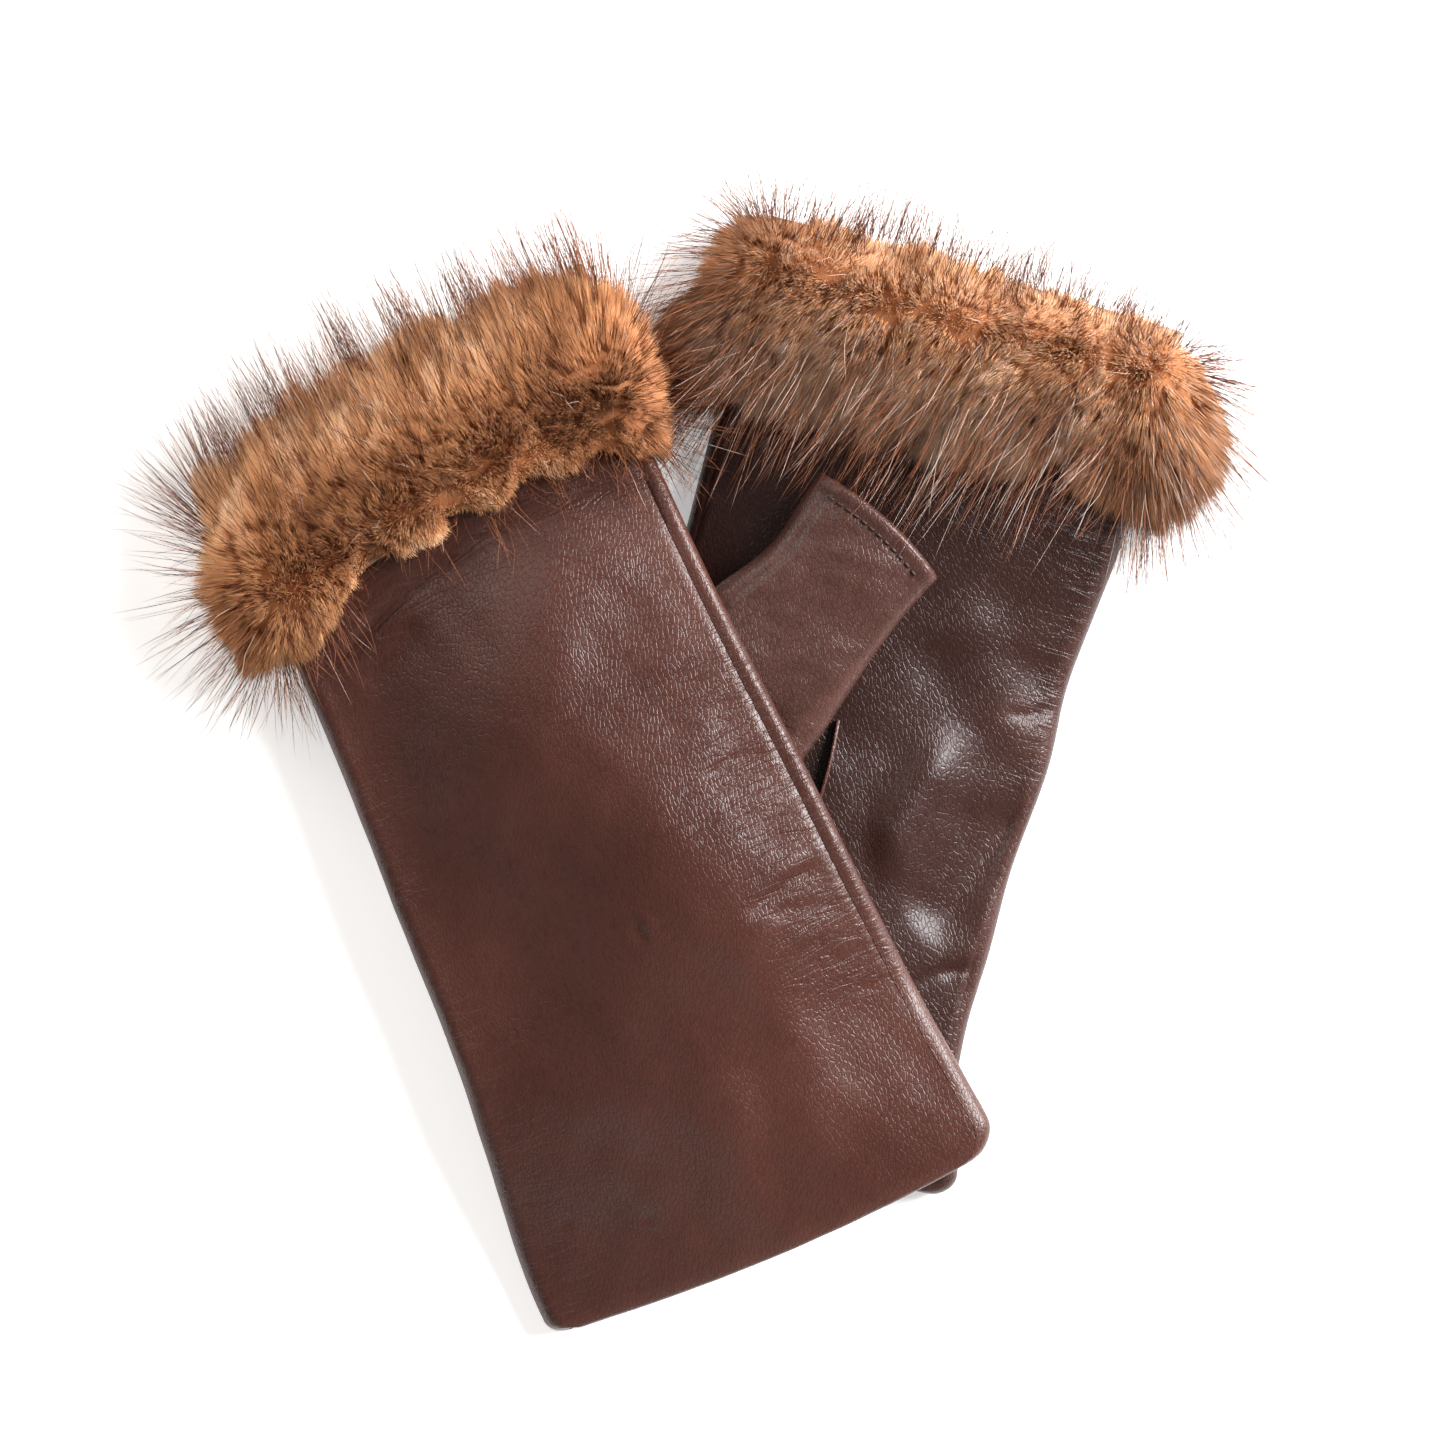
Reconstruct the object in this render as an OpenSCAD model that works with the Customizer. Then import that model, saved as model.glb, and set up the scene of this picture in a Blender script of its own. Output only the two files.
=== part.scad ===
// Pair of fingerless leather mitts with fur cuffs, lying flat and crossed, the left mitt on top.
// Each mitt is a flat sewn tube. Its own coordinates are u across (the thumb side is negative) and
// v along, from the finger edge to the wrist. A place on the tube is given by s, which runs round it:
// s 0 is the little-finger fold, 1 to 3 the back, 4 the thumb-side fold and 5 to 7 the palm.

/* [Leather tube] */
// Length of the leather, from the finger edge to the cuff seam
leather_len = 150; // [145:1:155]
// Flat width across the finger edge
finger_w = 96.4; // [92:0.1:98]
// Flat width from the middle of the hand to the cuff
cuff_w = 84.8; // [82:0.1:86]
// Outside radius of the folded sides
side_r = 3.4; // [3.2:0.1:3.8]
// Radius of the finger edge's two corners
corner_r = 5; // [4:0.5:6]
// How far the upper side rises above the folds at the finger edge
finger_crown = 2.4; // [2:0.1:3]
// How far the upper side rises above the folds over the hand
hand_crown = 5; // [4.5:0.1:5.2]
// How much further the left mitt's cuff reaches on its little-finger side, per mm across
left_cuff_skew = 0.1; // [0:0.01:0.12]
// How much further the left mitt's cuff reaches in its middle than at its sides
left_cuff_arch = 5.5; // [0:0.5:6]
// How much further the left mitt's finger edge reaches in its middle than at its corners
left_finger_bow = 2.6; // [0:0.2:3]
// Thickness of the lambskin
leather_t = 0.8; // [0.6:0.1:0.9]
// Thickness of the knitted lining
lining_t = 0.7; // [0.5:0.1:0.8]
// Width of the hem turned in at the finger edge
hem_w = 12; // [8:1:15]

/* [Thumb] */
// Length of the thumb tube, root fold to hem
thumb_len = 50; // [46:1:52]
// Flat width of the thumb tube at its hem
thumb_w = 31; // [28:0.5:32]
// Flat width of the thumb tube at its root
thumb_root_w = 35; // [32:0.5:36]
// Half the thickness of the flattened thumb tube
thumb_r = 3.9; // [3.7:0.1:4]
// Running stitches on each face of the thumb hem
hem_stitches = 12; // [8:1:14]

/* [Fur cuff] */
// Length of the pelt band beyond the cuff seam
pelt_len = 29; // [24:1:32]
// Height of the dense pile over the upper side
pile_h = 11; // [9:0.5:12]
// Half the length of the pile along the mitt
pile_half_len = 19.5; // [18:0.5:20]

/* [Layout on the table] */
// Turn of the right mitt, which lies underneath
right_turn = -17; // [-18:0.5:-16]
// Turn of the left mitt, which lies on top
left_turn = 23.5; // [23:0.5:24]
// Height of the right mitt's cuff above the table, held up by its own fur
cuff_rise = 5; // [4:0.5:6]

/* [Hidden] */
RIGHT = 0;
LEFT = 1;
fit_gap = 0.15;
seam_gap = 0.6;
thread_r = 0.2;
thread_sides = 6;
// Colours of the materials
leather_brown = "#4a2720";
lining_brown = "#3a2622";
pelt_tan = "#c9a582";
fur_brown = "#a5693a";
thread_brown = "#2a1613";

// Where the middle of each finger edge lies, and each mitt's turn
mitt_pos = [[1.8, -71.9], [12, -92.1]];
mitt_turn = [right_turn, left_turn];

// Each cuff's skew and arch. The arch begins in the middle of the hand.
cuff_skew = [0.02, left_cuff_skew];
cuff_arch = [0, left_cuff_arch];
arch_start = 100;
arch_run = 50;

// How far each finger edge is let down: by its corners, and by how much more in its middle
corner_drop = [0.5, 3];
finger_bow = [0, left_finger_bow];
drop_run = 60;

// The side seams sit a little inside the silhouette: one towards the back, one towards the palm
outer_seam = 0.8;
inner_seam = 4.8;
half_seam = 0.056;

// The opening in the palm that the thumb is sewn round
hole_u = [-36, -12];
hole_v = [60, 80];

// The thumbs lie folded back along the palm, towards the wrist
thumb_root = [[-23.7, 81.3], [-26, 81]];
thumb_turn = [25, 0];
thumb_pitch = [3.7, 0];
thumb_axis_z = [16.3, 4.5];

// The pile leans a little further over the leather on the right mitt
pile_mid = [160.5, 169.7];
pile_side = [[16, 12.5], [11, 13]];
pile_floor = 0.3;

// The left mitt droops to the table at its finger edge and rides over what lies below it
left_floor = 0.8;
own_thumb_rise = 8.4;
over_mitt_rise = 3.2;
over_thumb_rise = 9.6;

function clamp(x) = max(0, min(1, x));
function smooth(x) = let (k = clamp(x)) k * k * (3 - 2 * k);
function turned(a, p) = [p[0] * cos(a) - p[1] * sin(a), p[0] * sin(a) + p[1] * cos(a)];

// ---- Shape of the tube ----
function half_width(v) =
    let (round_off = corner_r * (1 - sqrt(1 - pow(1 - clamp(v / corner_r), 2))))
    cuff_w / 2 + (finger_w - cuff_w) / 2 * pow(1 - clamp(v / leather_len), 5) - round_off;
function crown(q, v) =
    (finger_crown + (hand_crown - finger_crown) * smooth(v / 60)) * pow(max(0, 1 - q * q), 1.5);

// A point on a flat ring with semicircular ends of radius r about (-c, 0) and (c, 0)
function ring_point(t, c, r) =
    t < 1 ? [c + r * cos(90 * t), r * sin(90 * t)] :
    t < 3 ? [c * (2 - t), r] :
    t < 5 ? [-c - r * sin(90 * (t - 3)), r * cos(90 * (t - 3))] :
    t < 7 ? [c * (t - 6), -r] :
    [c + r * sin(90 * (t - 7)), -r * cos(90 * (t - 7))];

// The right mitt lies palm up, so its ring is walked the other way round
function ring_place(m, s) = (m == LEFT ? s : 16 - s) % 8;

function arched(m, u, v) =
    cuff_arch[m] * max(-0.4, 1 - pow(2 * u / cuff_w, 2)) * smooth((v - arch_start) / arch_run);
function dropped(m, u, v) =
    (corner_drop[m] + finger_bow[m] * max(0, 1 - pow(2 * u / finger_w, 2))) * smooth(1 - v / drop_run);
function on_table(m, u, v) =
    let (along = v + cuff_skew[m] * u * clamp(v / leather_len) + arched(m, u, v) - dropped(m, u, v))
    mitt_pos[m] + turned(mitt_turn[m], [u, along]);
function mitt_point(m, q, z) =
    let (xy = mitt_pos[m] + turned(mitt_turn[m], q))
    [xy[0], xy[1], z];
function in_mitt(m, xy) = turned(-mitt_turn[m], xy - mitt_pos[m]);

// Height of the surface that each mitt lies on. Beyond the cuff seam it goes straight on.
function floor_z(m, u, v) =
    m == RIGHT ? cuff_rise * smooth((v - 95) / 55) :
    draped_z(in_mitt(RIGHT, on_table(m, u, min(v, leather_len))));
function draped_z(q) =
    let (
        from_root = turned(thumb_turn[RIGHT], q - thumb_root[RIGHT]),
        beside_thumb = max(0, abs(from_root[0]) - thumb_root_w / 2) / 52,
        before_thumb = max(0, -from_root[1]) / 70
    )
    left_floor
    + own_thumb_rise * smooth((q[1] + 46) / 48)
    + over_mitt_rise * smooth((q[0] + 52) / 30) * smooth((q[1] + 12) / 30)
    + over_thumb_rise * smooth(1.35 * (1 - norm([beside_thumb, before_thumb])));

// A point of mitt m at s round the tube and v along it, d outside the leather's surface
function tube_point(m, s, v, d) =
    let (
        t = ring_place(m, s),
        c = half_width(v) - side_r,
        q = ring_point(t, c, side_r + d),
        xy = on_table(m, q[0], v),
        rise = t > 1 && t < 3 ? crown(q[0] / c, v) : 0
    )
    [xy[0], xy[1], floor_z(m, q[0], v) + side_r + q[1] + rise];

// A point in a thumb's own frame: p across, d along from the root, h through its thickness
function thumb_point(m, p, d, h) =
    let (
        pitch = thumb_pitch[m],
        along = d * cos(pitch) - h * sin(pitch),
        q = thumb_root[m] + turned(-thumb_turn[m], [p, along])
    )
    mitt_point(m, q, thumb_axis_z[m] + d * sin(pitch) + h * cos(pitch));

// A point on a thumb tube: t round it, f from the root (0) to the hem (1), d outside the leather
function thumb_tube_point(m, t, f, d) =
    let (
        a = (thumb_root_w + (thumb_w - thumb_root_w) * f) / 2,
        q = ring_point(t % 8, a - thumb_r, thumb_r + d),
        root_line = 3 * pow(q[0] / a, 4),
        hem_line = thumb_len - 2 * pow(q[0] / a, 2)
    )
    thumb_point(m, q[0], root_line + (hem_line - root_line) * f, q[1]);

// ---- Solids from grids of points ----
function flat_list(rows) = [for (row = rows) each row];

// A sheet between an outer and an inner grid of points. It can close on itself along its columns,
// and hole = [first row, last row, first column, last column] leaves an opening in it.
module sheet(outer, inner, closed = false, flip = false, hole = [0, 0, 0, 0]) {
    rows = len(outer);
    cols = len(outer[0]);
    cells = closed ? cols : cols - 1;
    function at(k, i, j) = k * rows * cols + i * cols + j % cols;
    function kept(i, j) =
        let (w = closed ? (j + cells) % cells : j)
        i >= 0 && i < rows - 1 && w >= 0 && w < cells
        && !(i >= hole[0] && i < hole[1] && w >= hole[2] && w < hole[3]);
    function two(a, b, c, d) = [[a, b, c], [a, c, d]];
    faces = [for (i = [0 : rows - 2]) for (j = [0 : cells - 1]) if (kept(i, j)) each concat(
        two(at(0, i, j), at(0, i, j + 1), at(0, i + 1, j + 1), at(0, i + 1, j)),
        two(at(1, i, j), at(1, i + 1, j), at(1, i + 1, j + 1), at(1, i, j + 1)),
        kept(i - 1, j) ? [] : two(at(0, i, j), at(1, i, j), at(1, i, j + 1), at(0, i, j + 1)),
        kept(i + 1, j) ? [] : two(at(0, i + 1, j + 1), at(1, i + 1, j + 1), at(1, i + 1, j), at(0, i + 1, j)),
        kept(i, j - 1) ? [] : two(at(0, i + 1, j), at(1, i + 1, j), at(1, i, j), at(0, i, j)),
        kept(i, j + 1) ? [] : two(at(0, i, j + 1), at(1, i, j + 1), at(1, i + 1, j + 1), at(0, i + 1, j + 1))
    )];
    points = concat(flat_list(outer), flat_list(inner));
    polyhedron(points, flip ? [for (f = faces) [f[2], f[1], f[0]]] : faces);
}

// A solid ring whose rows are closed sections, joined from each row to the next and back to the first
module ring_solid(grid, flip = false) {
    rows = len(grid);
    cols = len(grid[0]);
    function at(i, j) = (i % rows) * cols + j % cols;
    faces = [for (i = [0 : rows - 1]) for (j = [0 : cols - 1]) each [
        [at(i, j), at(i, j + 1), at(i + 1, j + 1)],
        [at(i, j), at(i + 1, j + 1), at(i + 1, j)]
    ]];
    polyhedron(flat_list(grid), flip ? [for (f = faces) [f[2], f[1], f[0]]] : faces);
}

// A thread: a thin tube swept along a list of points, closed into a loop or with flat ends
module thread(path, closed = false) {
    n = len(path);
    k = thread_sides;
    function step(i) = closed
        ? path[(i + 1) % n] - path[(i + n - 1) % n]
        : path[min(n - 1, i + 1)] - path[max(0, i - 1)];
    function unit(a) = a / norm(a);
    rings = [for (i = [0 : n - 1])
        let (
            along = unit(step(i)),
            side = unit(cross(along, [0.02, 0.03, 1])),
            up = cross(side, along)
        )
        [for (j = [0 : k - 1]) path[i] + thread_r * (side * cos(360 * j / k) + up * sin(360 * j / k))]];
    last = closed ? n - 1 : n - 2;
    walls = [for (i = [0 : last]) for (j = [0 : k - 1])
        let (a = i * k + j, b = i * k + (j + 1) % k, c = (i + 1) % n * k + (j + 1) % k, d = (i + 1) % n * k + j)
        each [[a, b, c], [a, c, d]]];
    ends = closed ? [] : [[for (j = [k - 1 : -1 : 0]) j], [for (j = [0 : k - 1]) (n - 1) * k + j]];
    polyhedron(flat_list(rings), concat(walls, ends));
}

// ---- Stations along and round the tube ----
// Every layer uses the same stations, so that the layers nest without touching. The flat stations
// stop a hair short of the folds.
edge = 0.001;
back_flat = concat([1 + edge], [for (i = [1 : 7]) 1 + i / 4], [3 - edge]);
palm_flat = concat([5 + edge], hole_stations(), [6.1, 6.35, 6.6, 6.8, 7 - edge]);
thumb_fold = [for (i = [1 : 5]) 3 + i / 3];
finger_fold = [for (i = [1 : 5]) 7 + i / 3];
back_s = concat([outer_seam + half_seam], back_flat, thumb_fold, [inner_seam - half_seam]);
palm_s = concat([inner_seam + half_seam], palm_flat, finger_fold, [8 + outer_seam - half_seam]);
ring_s = concat(back_flat, thumb_fold, palm_flat, finger_fold);

// Rows close to the hem, at the opening's ends and along the hand
hand_v = concat([20, 28, 36, 44, 52], [for (k = [0 : 3]) hole_v[0] + k / 3 * (hole_v[1] - hole_v[0])],
    [for (i = [1 : 5]) hole_v[1] + i * 12]);
panel_v = concat([0, 1, 2.5, 5, hem_w, hem_w + 0.3, hem_w + 1], hand_v, [leather_len]);
pelt_v = [leather_len + seam_gap, leather_len + 10, leather_len + 20, leather_len + pelt_len];
lining_v = concat([hem_w + 1], hand_v, [for (i = [0 : 2]) pelt_v[i]]);

// Stations across the palm, with the opening's two sides among them
function palm_station(u) = 6 + u / (cuff_w / 2 - side_r);
function hole_stations() = [for (k = [0 : 3]) palm_station(hole_u[0] + k / 3 * (hole_u[1] - hole_u[0]))];
function index_of(value, list) = [for (i = [0 : len(list) - 1]) if (abs(list[i] - value) < 1e-6) i][0];
function hole_in(rows, cols) = [
    index_of(hole_v[0], rows), index_of(hole_v[1], rows),
    index_of(palm_station(hole_u[0]), cols), index_of(palm_station(hole_u[1]), cols)
];

function tube_grid(m, rows, cols, depths) =
    [for (i = [0 : len(rows) - 1]) [for (s = cols) tube_point(m, s, rows[i], depths[i])]];
function same(rows, d) = [for (v = rows) d];

// ---- Leather ----
module panel(m, cols, hole = [0, 0, 0, 0]) {
    inner = [for (v = panel_v) v <= hem_w ? -2 * leather_t : -leather_t];
    color(leather_brown)
        sheet(tube_grid(m, panel_v, cols, same(panel_v, 0)), tube_grid(m, panel_v, cols, inner),
            flip = m == RIGHT, hole = hole);
}
module back_leather(m) { panel(m, back_s); }
module palm_leather(m) { panel(m, palm_s, hole_in(panel_v, palm_s)); }

// Stations round the thumb tube
thumb_t = [for (i = [0 : 15]) i * 0.5];

module thumb_leather(m) {
    hem = 0.9;
    f = [0, 0.25, 0.5, 0.75, hem, hem + 0.006, 1];
    function depth(k) = k > hem ? -2 * leather_t : -leather_t;
    color(leather_brown)
        sheet([for (k = f) [for (t = thumb_t) thumb_tube_point(m, t, k, 0)]],
            [for (k = f) [for (t = thumb_t) thumb_tube_point(m, t, k, depth(k))]],
            closed = true);
}

// A narrow gusset standing on the palm beside the thumb's base, bowed a little along its length
module thumb_quirk(m) {
    length = 18;
    height = 2.6;
    bow = 1.2;
    clear = 0.45;
    start = [0.4, 67.5];
    turn = 3;
    top = m == RIGHT ? 1 : -1;
    function rim(along, out, up) =
        let (q = start + turned(turn, [out + bow * sin(180 * along / length), along]))
        mitt_point(m, q, palm_z(m, q) + top * (clear + up));
    rows = [for (k = [0 : 6]) k / 6 * length];
    color(leather_brown)
        sheet([for (k = rows) [rim(k, leather_t, 0), rim(k, leather_t, height)]],
            [for (k = rows) [rim(k, 0, 0), rim(k, 0, height)]],
            flip = m == LEFT);
}
function palm_z(m, q) =
    floor_z(m, q[0], q[1])
    + (m == RIGHT ? 2 * side_r + crown(q[0] / (half_width(q[1]) - side_r), q[1]) : 0);

// ---- Linings ----
module hand_lining(m) {
    outer = -leather_t - fit_gap;
    color(lining_brown)
        sheet(tube_grid(m, lining_v, ring_s, same(lining_v, outer)),
            tube_grid(m, lining_v, ring_s, same(lining_v, outer - lining_t)),
            closed = true, flip = m == RIGHT, hole = hole_in(lining_v, ring_s));
}

module thumb_lining(m) {
    outer = -leather_t - fit_gap;
    f = [0.01, 0.3, 0.6, 0.88];
    color(lining_brown)
        sheet([for (k = f) [for (t = thumb_t) thumb_tube_point(m, t, k, outer)]],
            [for (k = f) [for (t = thumb_t) thumb_tube_point(m, t, k, outer - lining_t)]],
            closed = true);
}

// ---- Fur cuff ----
module fur_pelt(m) {
    color(pelt_tan)
        sheet(tube_grid(m, pelt_v, ring_s, same(pelt_v, 0.1)),
            tube_grid(m, pelt_v, ring_s, same(pelt_v, -leather_t)),
            closed = true, flip = m == RIGHT);
}

// The dense underfur, a thick soft ring round the pelt that is flat where it lies on the table
module fur_pile(m) {
    function reach(t) =
        let (e = cos(45 * t), side = pile_side[m][e > 0 ? 0 : 1])
        pile_h + (side - pile_h) * e * e;
    function pile_point(s, a) =
        let (
            v = pile_mid[m] + pile_half_len * cos(a),
            d = 0.25 + (a < 180 ? reach(ring_place(m, s)) * pow(sin(a), 0.7) : 0),
            p = tube_point(m, s, v, d)
        )
        [p[0], p[1], max(pile_floor, p[2])];
    angles = [0, 18, 40, 65, 90, 115, 140, 162, 180, 220, 270, 320];
    color(fur_brown)
        ring_solid([for (s = ring_s) [for (a = angles) pile_point(s, a)]], flip = m == RIGHT);
}

// ---- Sewing threads ----
module side_thread(m, s) {
    color(thread_brown)
        thread([for (v = panel_v) if (v > 2) tube_point(m, s, min(v, leather_len - 1), -leather_t / 2)]);
}
module outer_seam_thread(m) { side_thread(m, outer_seam); }
module inner_seam_thread(m) { side_thread(m, inner_seam); }

module ring_thread(m, v, d) {
    color(thread_brown) thread([for (s = ring_s) tube_point(m, s, v, d)], closed = true);
}
module cuff_seam_thread(m) { ring_thread(m, leather_len + seam_gap / 2, -leather_t / 2); }
module finger_hem_thread(m) { ring_thread(m, hem_w + 0.65, -leather_t - fit_gap - lining_t / 2); }

// The thread that joins the thumb's base round the opening in the palm
module thumb_root_thread(m) {
    inset = 0.35;
    u = [hole_u[0] + inset, (hole_u[0] + hole_u[1]) / 2, hole_u[1] - inset];
    v = [hole_v[0] + inset, (hole_v[0] + hole_v[1]) / 2, hole_v[1] - inset];
    corners = [[u[0], v[0]], [u[1], v[0]], [u[2], v[0]], [u[2], v[1]],
        [u[2], v[2]], [u[1], v[2]], [u[0], v[2]], [u[0], v[1]]];
    color(thread_brown)
        thread([for (q = corners) tube_point(m, palm_station(q[0]), q[1], -leather_t / 2)], closed = true);
}

// Separate running stitches along the thumb hem, on both faces
module thumb_hem_thread(m) {
    pitch = 2;
    stitch = 1.3;
    from_hem = 3.4;
    first = -(hem_stitches - 1) * pitch / 2;
    color(thread_brown)
        for (face = [-1, 1]) for (i = [0 : hem_stitches - 1]) {
            p = first + i * pitch;
            d = thumb_len - from_hem - 2 * pow(2 * p / thumb_w, 2);
            at = thumb_point(m, p, d, face * (thumb_r + thread_r + 0.05));
            translate(at) rotate([0, 0, mitt_turn[m] - thumb_turn[m]]) rotate([0, 90, 0])
                cylinder(r = thread_r, h = stitch, center = true, $fn = 24);
        }
}

back_leather(RIGHT);  // right_back_leather
palm_leather(RIGHT);  // right_palm_leather
thumb_leather(RIGHT);  // right_thumb_leather
thumb_quirk(RIGHT);  // right_thumb_quirk
hand_lining(RIGHT);  // right_hand_lining
thumb_lining(RIGHT);  // right_thumb_lining
fur_pelt(RIGHT);  // right_fur_pelt
fur_pile(RIGHT);  // right_fur_pile
cuff_seam_thread(RIGHT);  // right_cuff_seam_thread
outer_seam_thread(RIGHT);  // right_outer_seam_thread
inner_seam_thread(RIGHT);  // right_inner_seam_thread
finger_hem_thread(RIGHT);  // right_finger_hem_thread
thumb_hem_thread(RIGHT);  // right_thumb_hem_thread
thumb_root_thread(RIGHT);  // right_thumb_root_thread
back_leather(LEFT);  // left_back_leather
palm_leather(LEFT);  // left_palm_leather
thumb_leather(LEFT);  // left_thumb_leather
thumb_quirk(LEFT);  // left_thumb_quirk
hand_lining(LEFT);  // left_hand_lining
thumb_lining(LEFT);  // left_thumb_lining
fur_pelt(LEFT);  // left_fur_pelt
fur_pile(LEFT);  // left_fur_pile
cuff_seam_thread(LEFT);  // left_cuff_seam_thread
outer_seam_thread(LEFT);  // left_outer_seam_thread
inner_seam_thread(LEFT);  // left_inner_seam_thread
finger_hem_thread(LEFT);  // left_finger_hem_thread
thumb_hem_thread(LEFT);  // left_thumb_hem_thread
thumb_root_thread(LEFT);  // left_thumb_root_thread
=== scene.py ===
"""A crossed pair of fingerless leather mitts with fur cuffs, lying on a table, the left mitt on top.

Sizes are in millimetres and become metres when a mesh is made. Each mitt has the coordinates of
its CAD solids: u across (the thumb side is negative), v from the finger edge to the wrist, and t
round the tube: 0 is the +u edge, 1 to 3 the upper side, 4 the -u edge and 5 to 7 the underside.
"""
from math import cos, pi, radians, sin

import bpy
import numpy as np
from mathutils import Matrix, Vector
from mathutils.kdtree import KDTree


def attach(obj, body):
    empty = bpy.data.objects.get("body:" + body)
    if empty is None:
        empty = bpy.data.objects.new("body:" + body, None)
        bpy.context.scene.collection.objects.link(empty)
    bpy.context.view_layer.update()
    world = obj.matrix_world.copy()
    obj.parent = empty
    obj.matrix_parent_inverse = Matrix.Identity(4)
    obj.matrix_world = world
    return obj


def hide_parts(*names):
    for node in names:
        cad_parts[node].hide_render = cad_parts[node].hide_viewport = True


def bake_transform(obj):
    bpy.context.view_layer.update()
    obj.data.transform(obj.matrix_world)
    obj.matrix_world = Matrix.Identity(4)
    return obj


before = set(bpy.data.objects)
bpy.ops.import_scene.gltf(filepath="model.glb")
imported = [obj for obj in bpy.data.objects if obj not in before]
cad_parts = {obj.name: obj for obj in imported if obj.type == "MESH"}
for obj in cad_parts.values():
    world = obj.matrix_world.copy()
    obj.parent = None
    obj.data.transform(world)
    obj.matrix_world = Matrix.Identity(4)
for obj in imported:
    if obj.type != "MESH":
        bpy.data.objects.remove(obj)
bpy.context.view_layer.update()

MM = 0.001
RIGHT, LEFT = 0, 1
SIDE = ("right", "left")

# ---- Layout, as in the CAD ----
MITT_POS = ((1.8, -71.9), (12.0, -92.1))
MITT_TURN = (-17.0, 23.5)
CUFF_SKEW = (0.02, 0.1)
CUFF_ARCH = (0.0, 5.5)
CORNER_DROP = (0.5, 3.0)
FINGER_BOW = (0.0, 2.6)
LEATHER_LEN = 150.0
CUFF_W = 84.8
FINGER_W = 96.4
SIDE_R = 3.4
LEATHER_T = 0.8
LINING_T = 0.7
FIT_GAP = 0.15
HEM_W = 12.0
SEAM_GAP = 0.6
SEAMS = ((3.2, 7.2), (0.8, 4.8))
HOLE_V = (60.0, 80.0)
HOLE_T = ((2.308, 2.923), (5.077, 5.692))
THUMB_ROOT = ((-23.7, 81.3), (-26.0, 81.0))
THUMB_TURN = (25.0, 0.0)
THUMB_PITCH = (3.7, 0.0)
THUMB_AXIS_Z = (16.3, 4.5)
THUMB_LEN = 50.0
# Length of a thumb tube that the rows are spaced by, and its half width
THUMB_MM = 48.0
THUMB_HALF_W = 15.6
# Half thickness of a thumb tube, how far its stitches are from the hem, and the length round its fold
THUMB_R = 3.9
STITCH_ROW = 3.4
THUMB_FOLD_MM = 6.5

# Half widths of each mitt on its thumb side and on its little-finger side
HALF_WIDTHS = (
    (
        ((0, 48.4), (30, 45), (70, 42.6), (115, 40.6), (133, 41.6), (150, 42.4), (190, 42.4)),
        (
            (0, 49.6), (5, 49.8), (10, 48.6), (22, 44.4), (32, 43), (50, 42.8), (65, 42.2),
            (90, 43.3), (104, 42.2), (120, 43.1), (130, 43.8), (150, 43.6), (190, 43),
        ),
    ),
    (
        (
            (0, 48.5), (10, 48.6), (20, 47.8), (32, 46.1), (45, 44.6), (60, 43.5), (80, 42.7),
            (100, 41.9), (120, 41.4), (150, 41), (190, 41),
        ),
        (
            (0, 49.4), (4, 49.8), (14, 49), (26, 47.7), (48, 46), (81, 44.2), (117, 42), (150, 41.2),
            (190, 41.2),
        ),
    ),
)
CORNER_R = ((4.0, 5.0), (3.5, 6.0))
# How far in the fold's curve begins, on the thumb side and on the little-finger side
FOLD_R = ((3.4, 4.0), (3.6, 4.9))
# Half widths of each thumb tube along its length, on its -p and +p sides
THUMB_WIDTHS = (
    (
        ((0, 18), (18, 16.1), (25, 14.6), (33, 14.0), (42, 15.2), (50, 16.2)),
        ((0, 19.6), (8, 18.9), (13, 18.2), (20, 17.2), (32, 15.8), (42, 15.2), (50, 15.4)),
    ),
    (((0, 16.3), (50, 14.9)), ((0, 17.5), (50, 15.5))),
)
# Lower and upper edge of the fur across each cuff
FUR_LOWER = (
    (
        (-62, 158), (-55, 147), (-47, 140.5), (-33.5, 142), (-15, 142.4), (4, 141), (15, 142),
        (25.7, 145.4), (30.6, 149), (36, 145.5), (42.8, 143.5), (54, 141.5), (62, 147),
    ),
    (
        (-57, 156), (-47, 149), (-39, 146.8), (-33, 147.4), (-26, 150), (-21, 153), (-17.4, 155),
        (-13, 152.3), (-8, 150.6), (-4, 151.6), (0, 152.8), (4, 151.4), (8, 150.6), (17.5, 152),
        (25, 151), (32, 150.6), (41, 148.6), (50, 151), (57, 158),
    ),
)
FUR_UPPER = (
    (
        (-62, 165), (-55.5, 172), (-41, 178), (-17, 180.5), (15, 178.6), (41, 175.6), (52, 172),
        (62, 166),
    ),
    (
        (-57, 176), (-53, 181.5), (-43, 186.5), (-17, 187), (0, 186.3), (16, 186.8), (39, 187),
        (50, 182.5), (57, 175),
    ),
)
PILE_H = 11.0
# How far the fur stands out at each mitt's +u and -u edges
PILE_SIDE = ((16.0, 12.5), (11.0, 13.0))
# The row that the hairs' places across the cuff are taken from
PILE_V = 165.0
# Where the hairs' roots are on the pelt: the middle of the band, and half its length
ROOT_V = (165.0, 161.0)
ROOT_HALF = 8.5
# Length round a fold for each unit of t, and of a flat side
FOLD_MM = 6.1
FLAT_MM = 39.0
# Half of the slit between two panels at their seams, in t
HALF_SLIT = 0.009
# How strongly each mitt's leather rolls between its folds, and how strongly a painted highlight lightens the
# whole of its thumb
ROLL_H = (0.3, 0.17)
THUMB_PAINTED_HIGHLIGHT = (0.62, 0.2)
# Each sleeve at a thumb's root: how far its ring is drawn back at its ends, how far it runs straight on
# from the thumb, as a part of its reach, and the height of its rucks
SLEEVE_BACK = (0.0, 1.2)
SLEEVE_RUN = (0.42, 0.12)
SLEEVE_RUCK = (0.35, 0.15)
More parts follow.
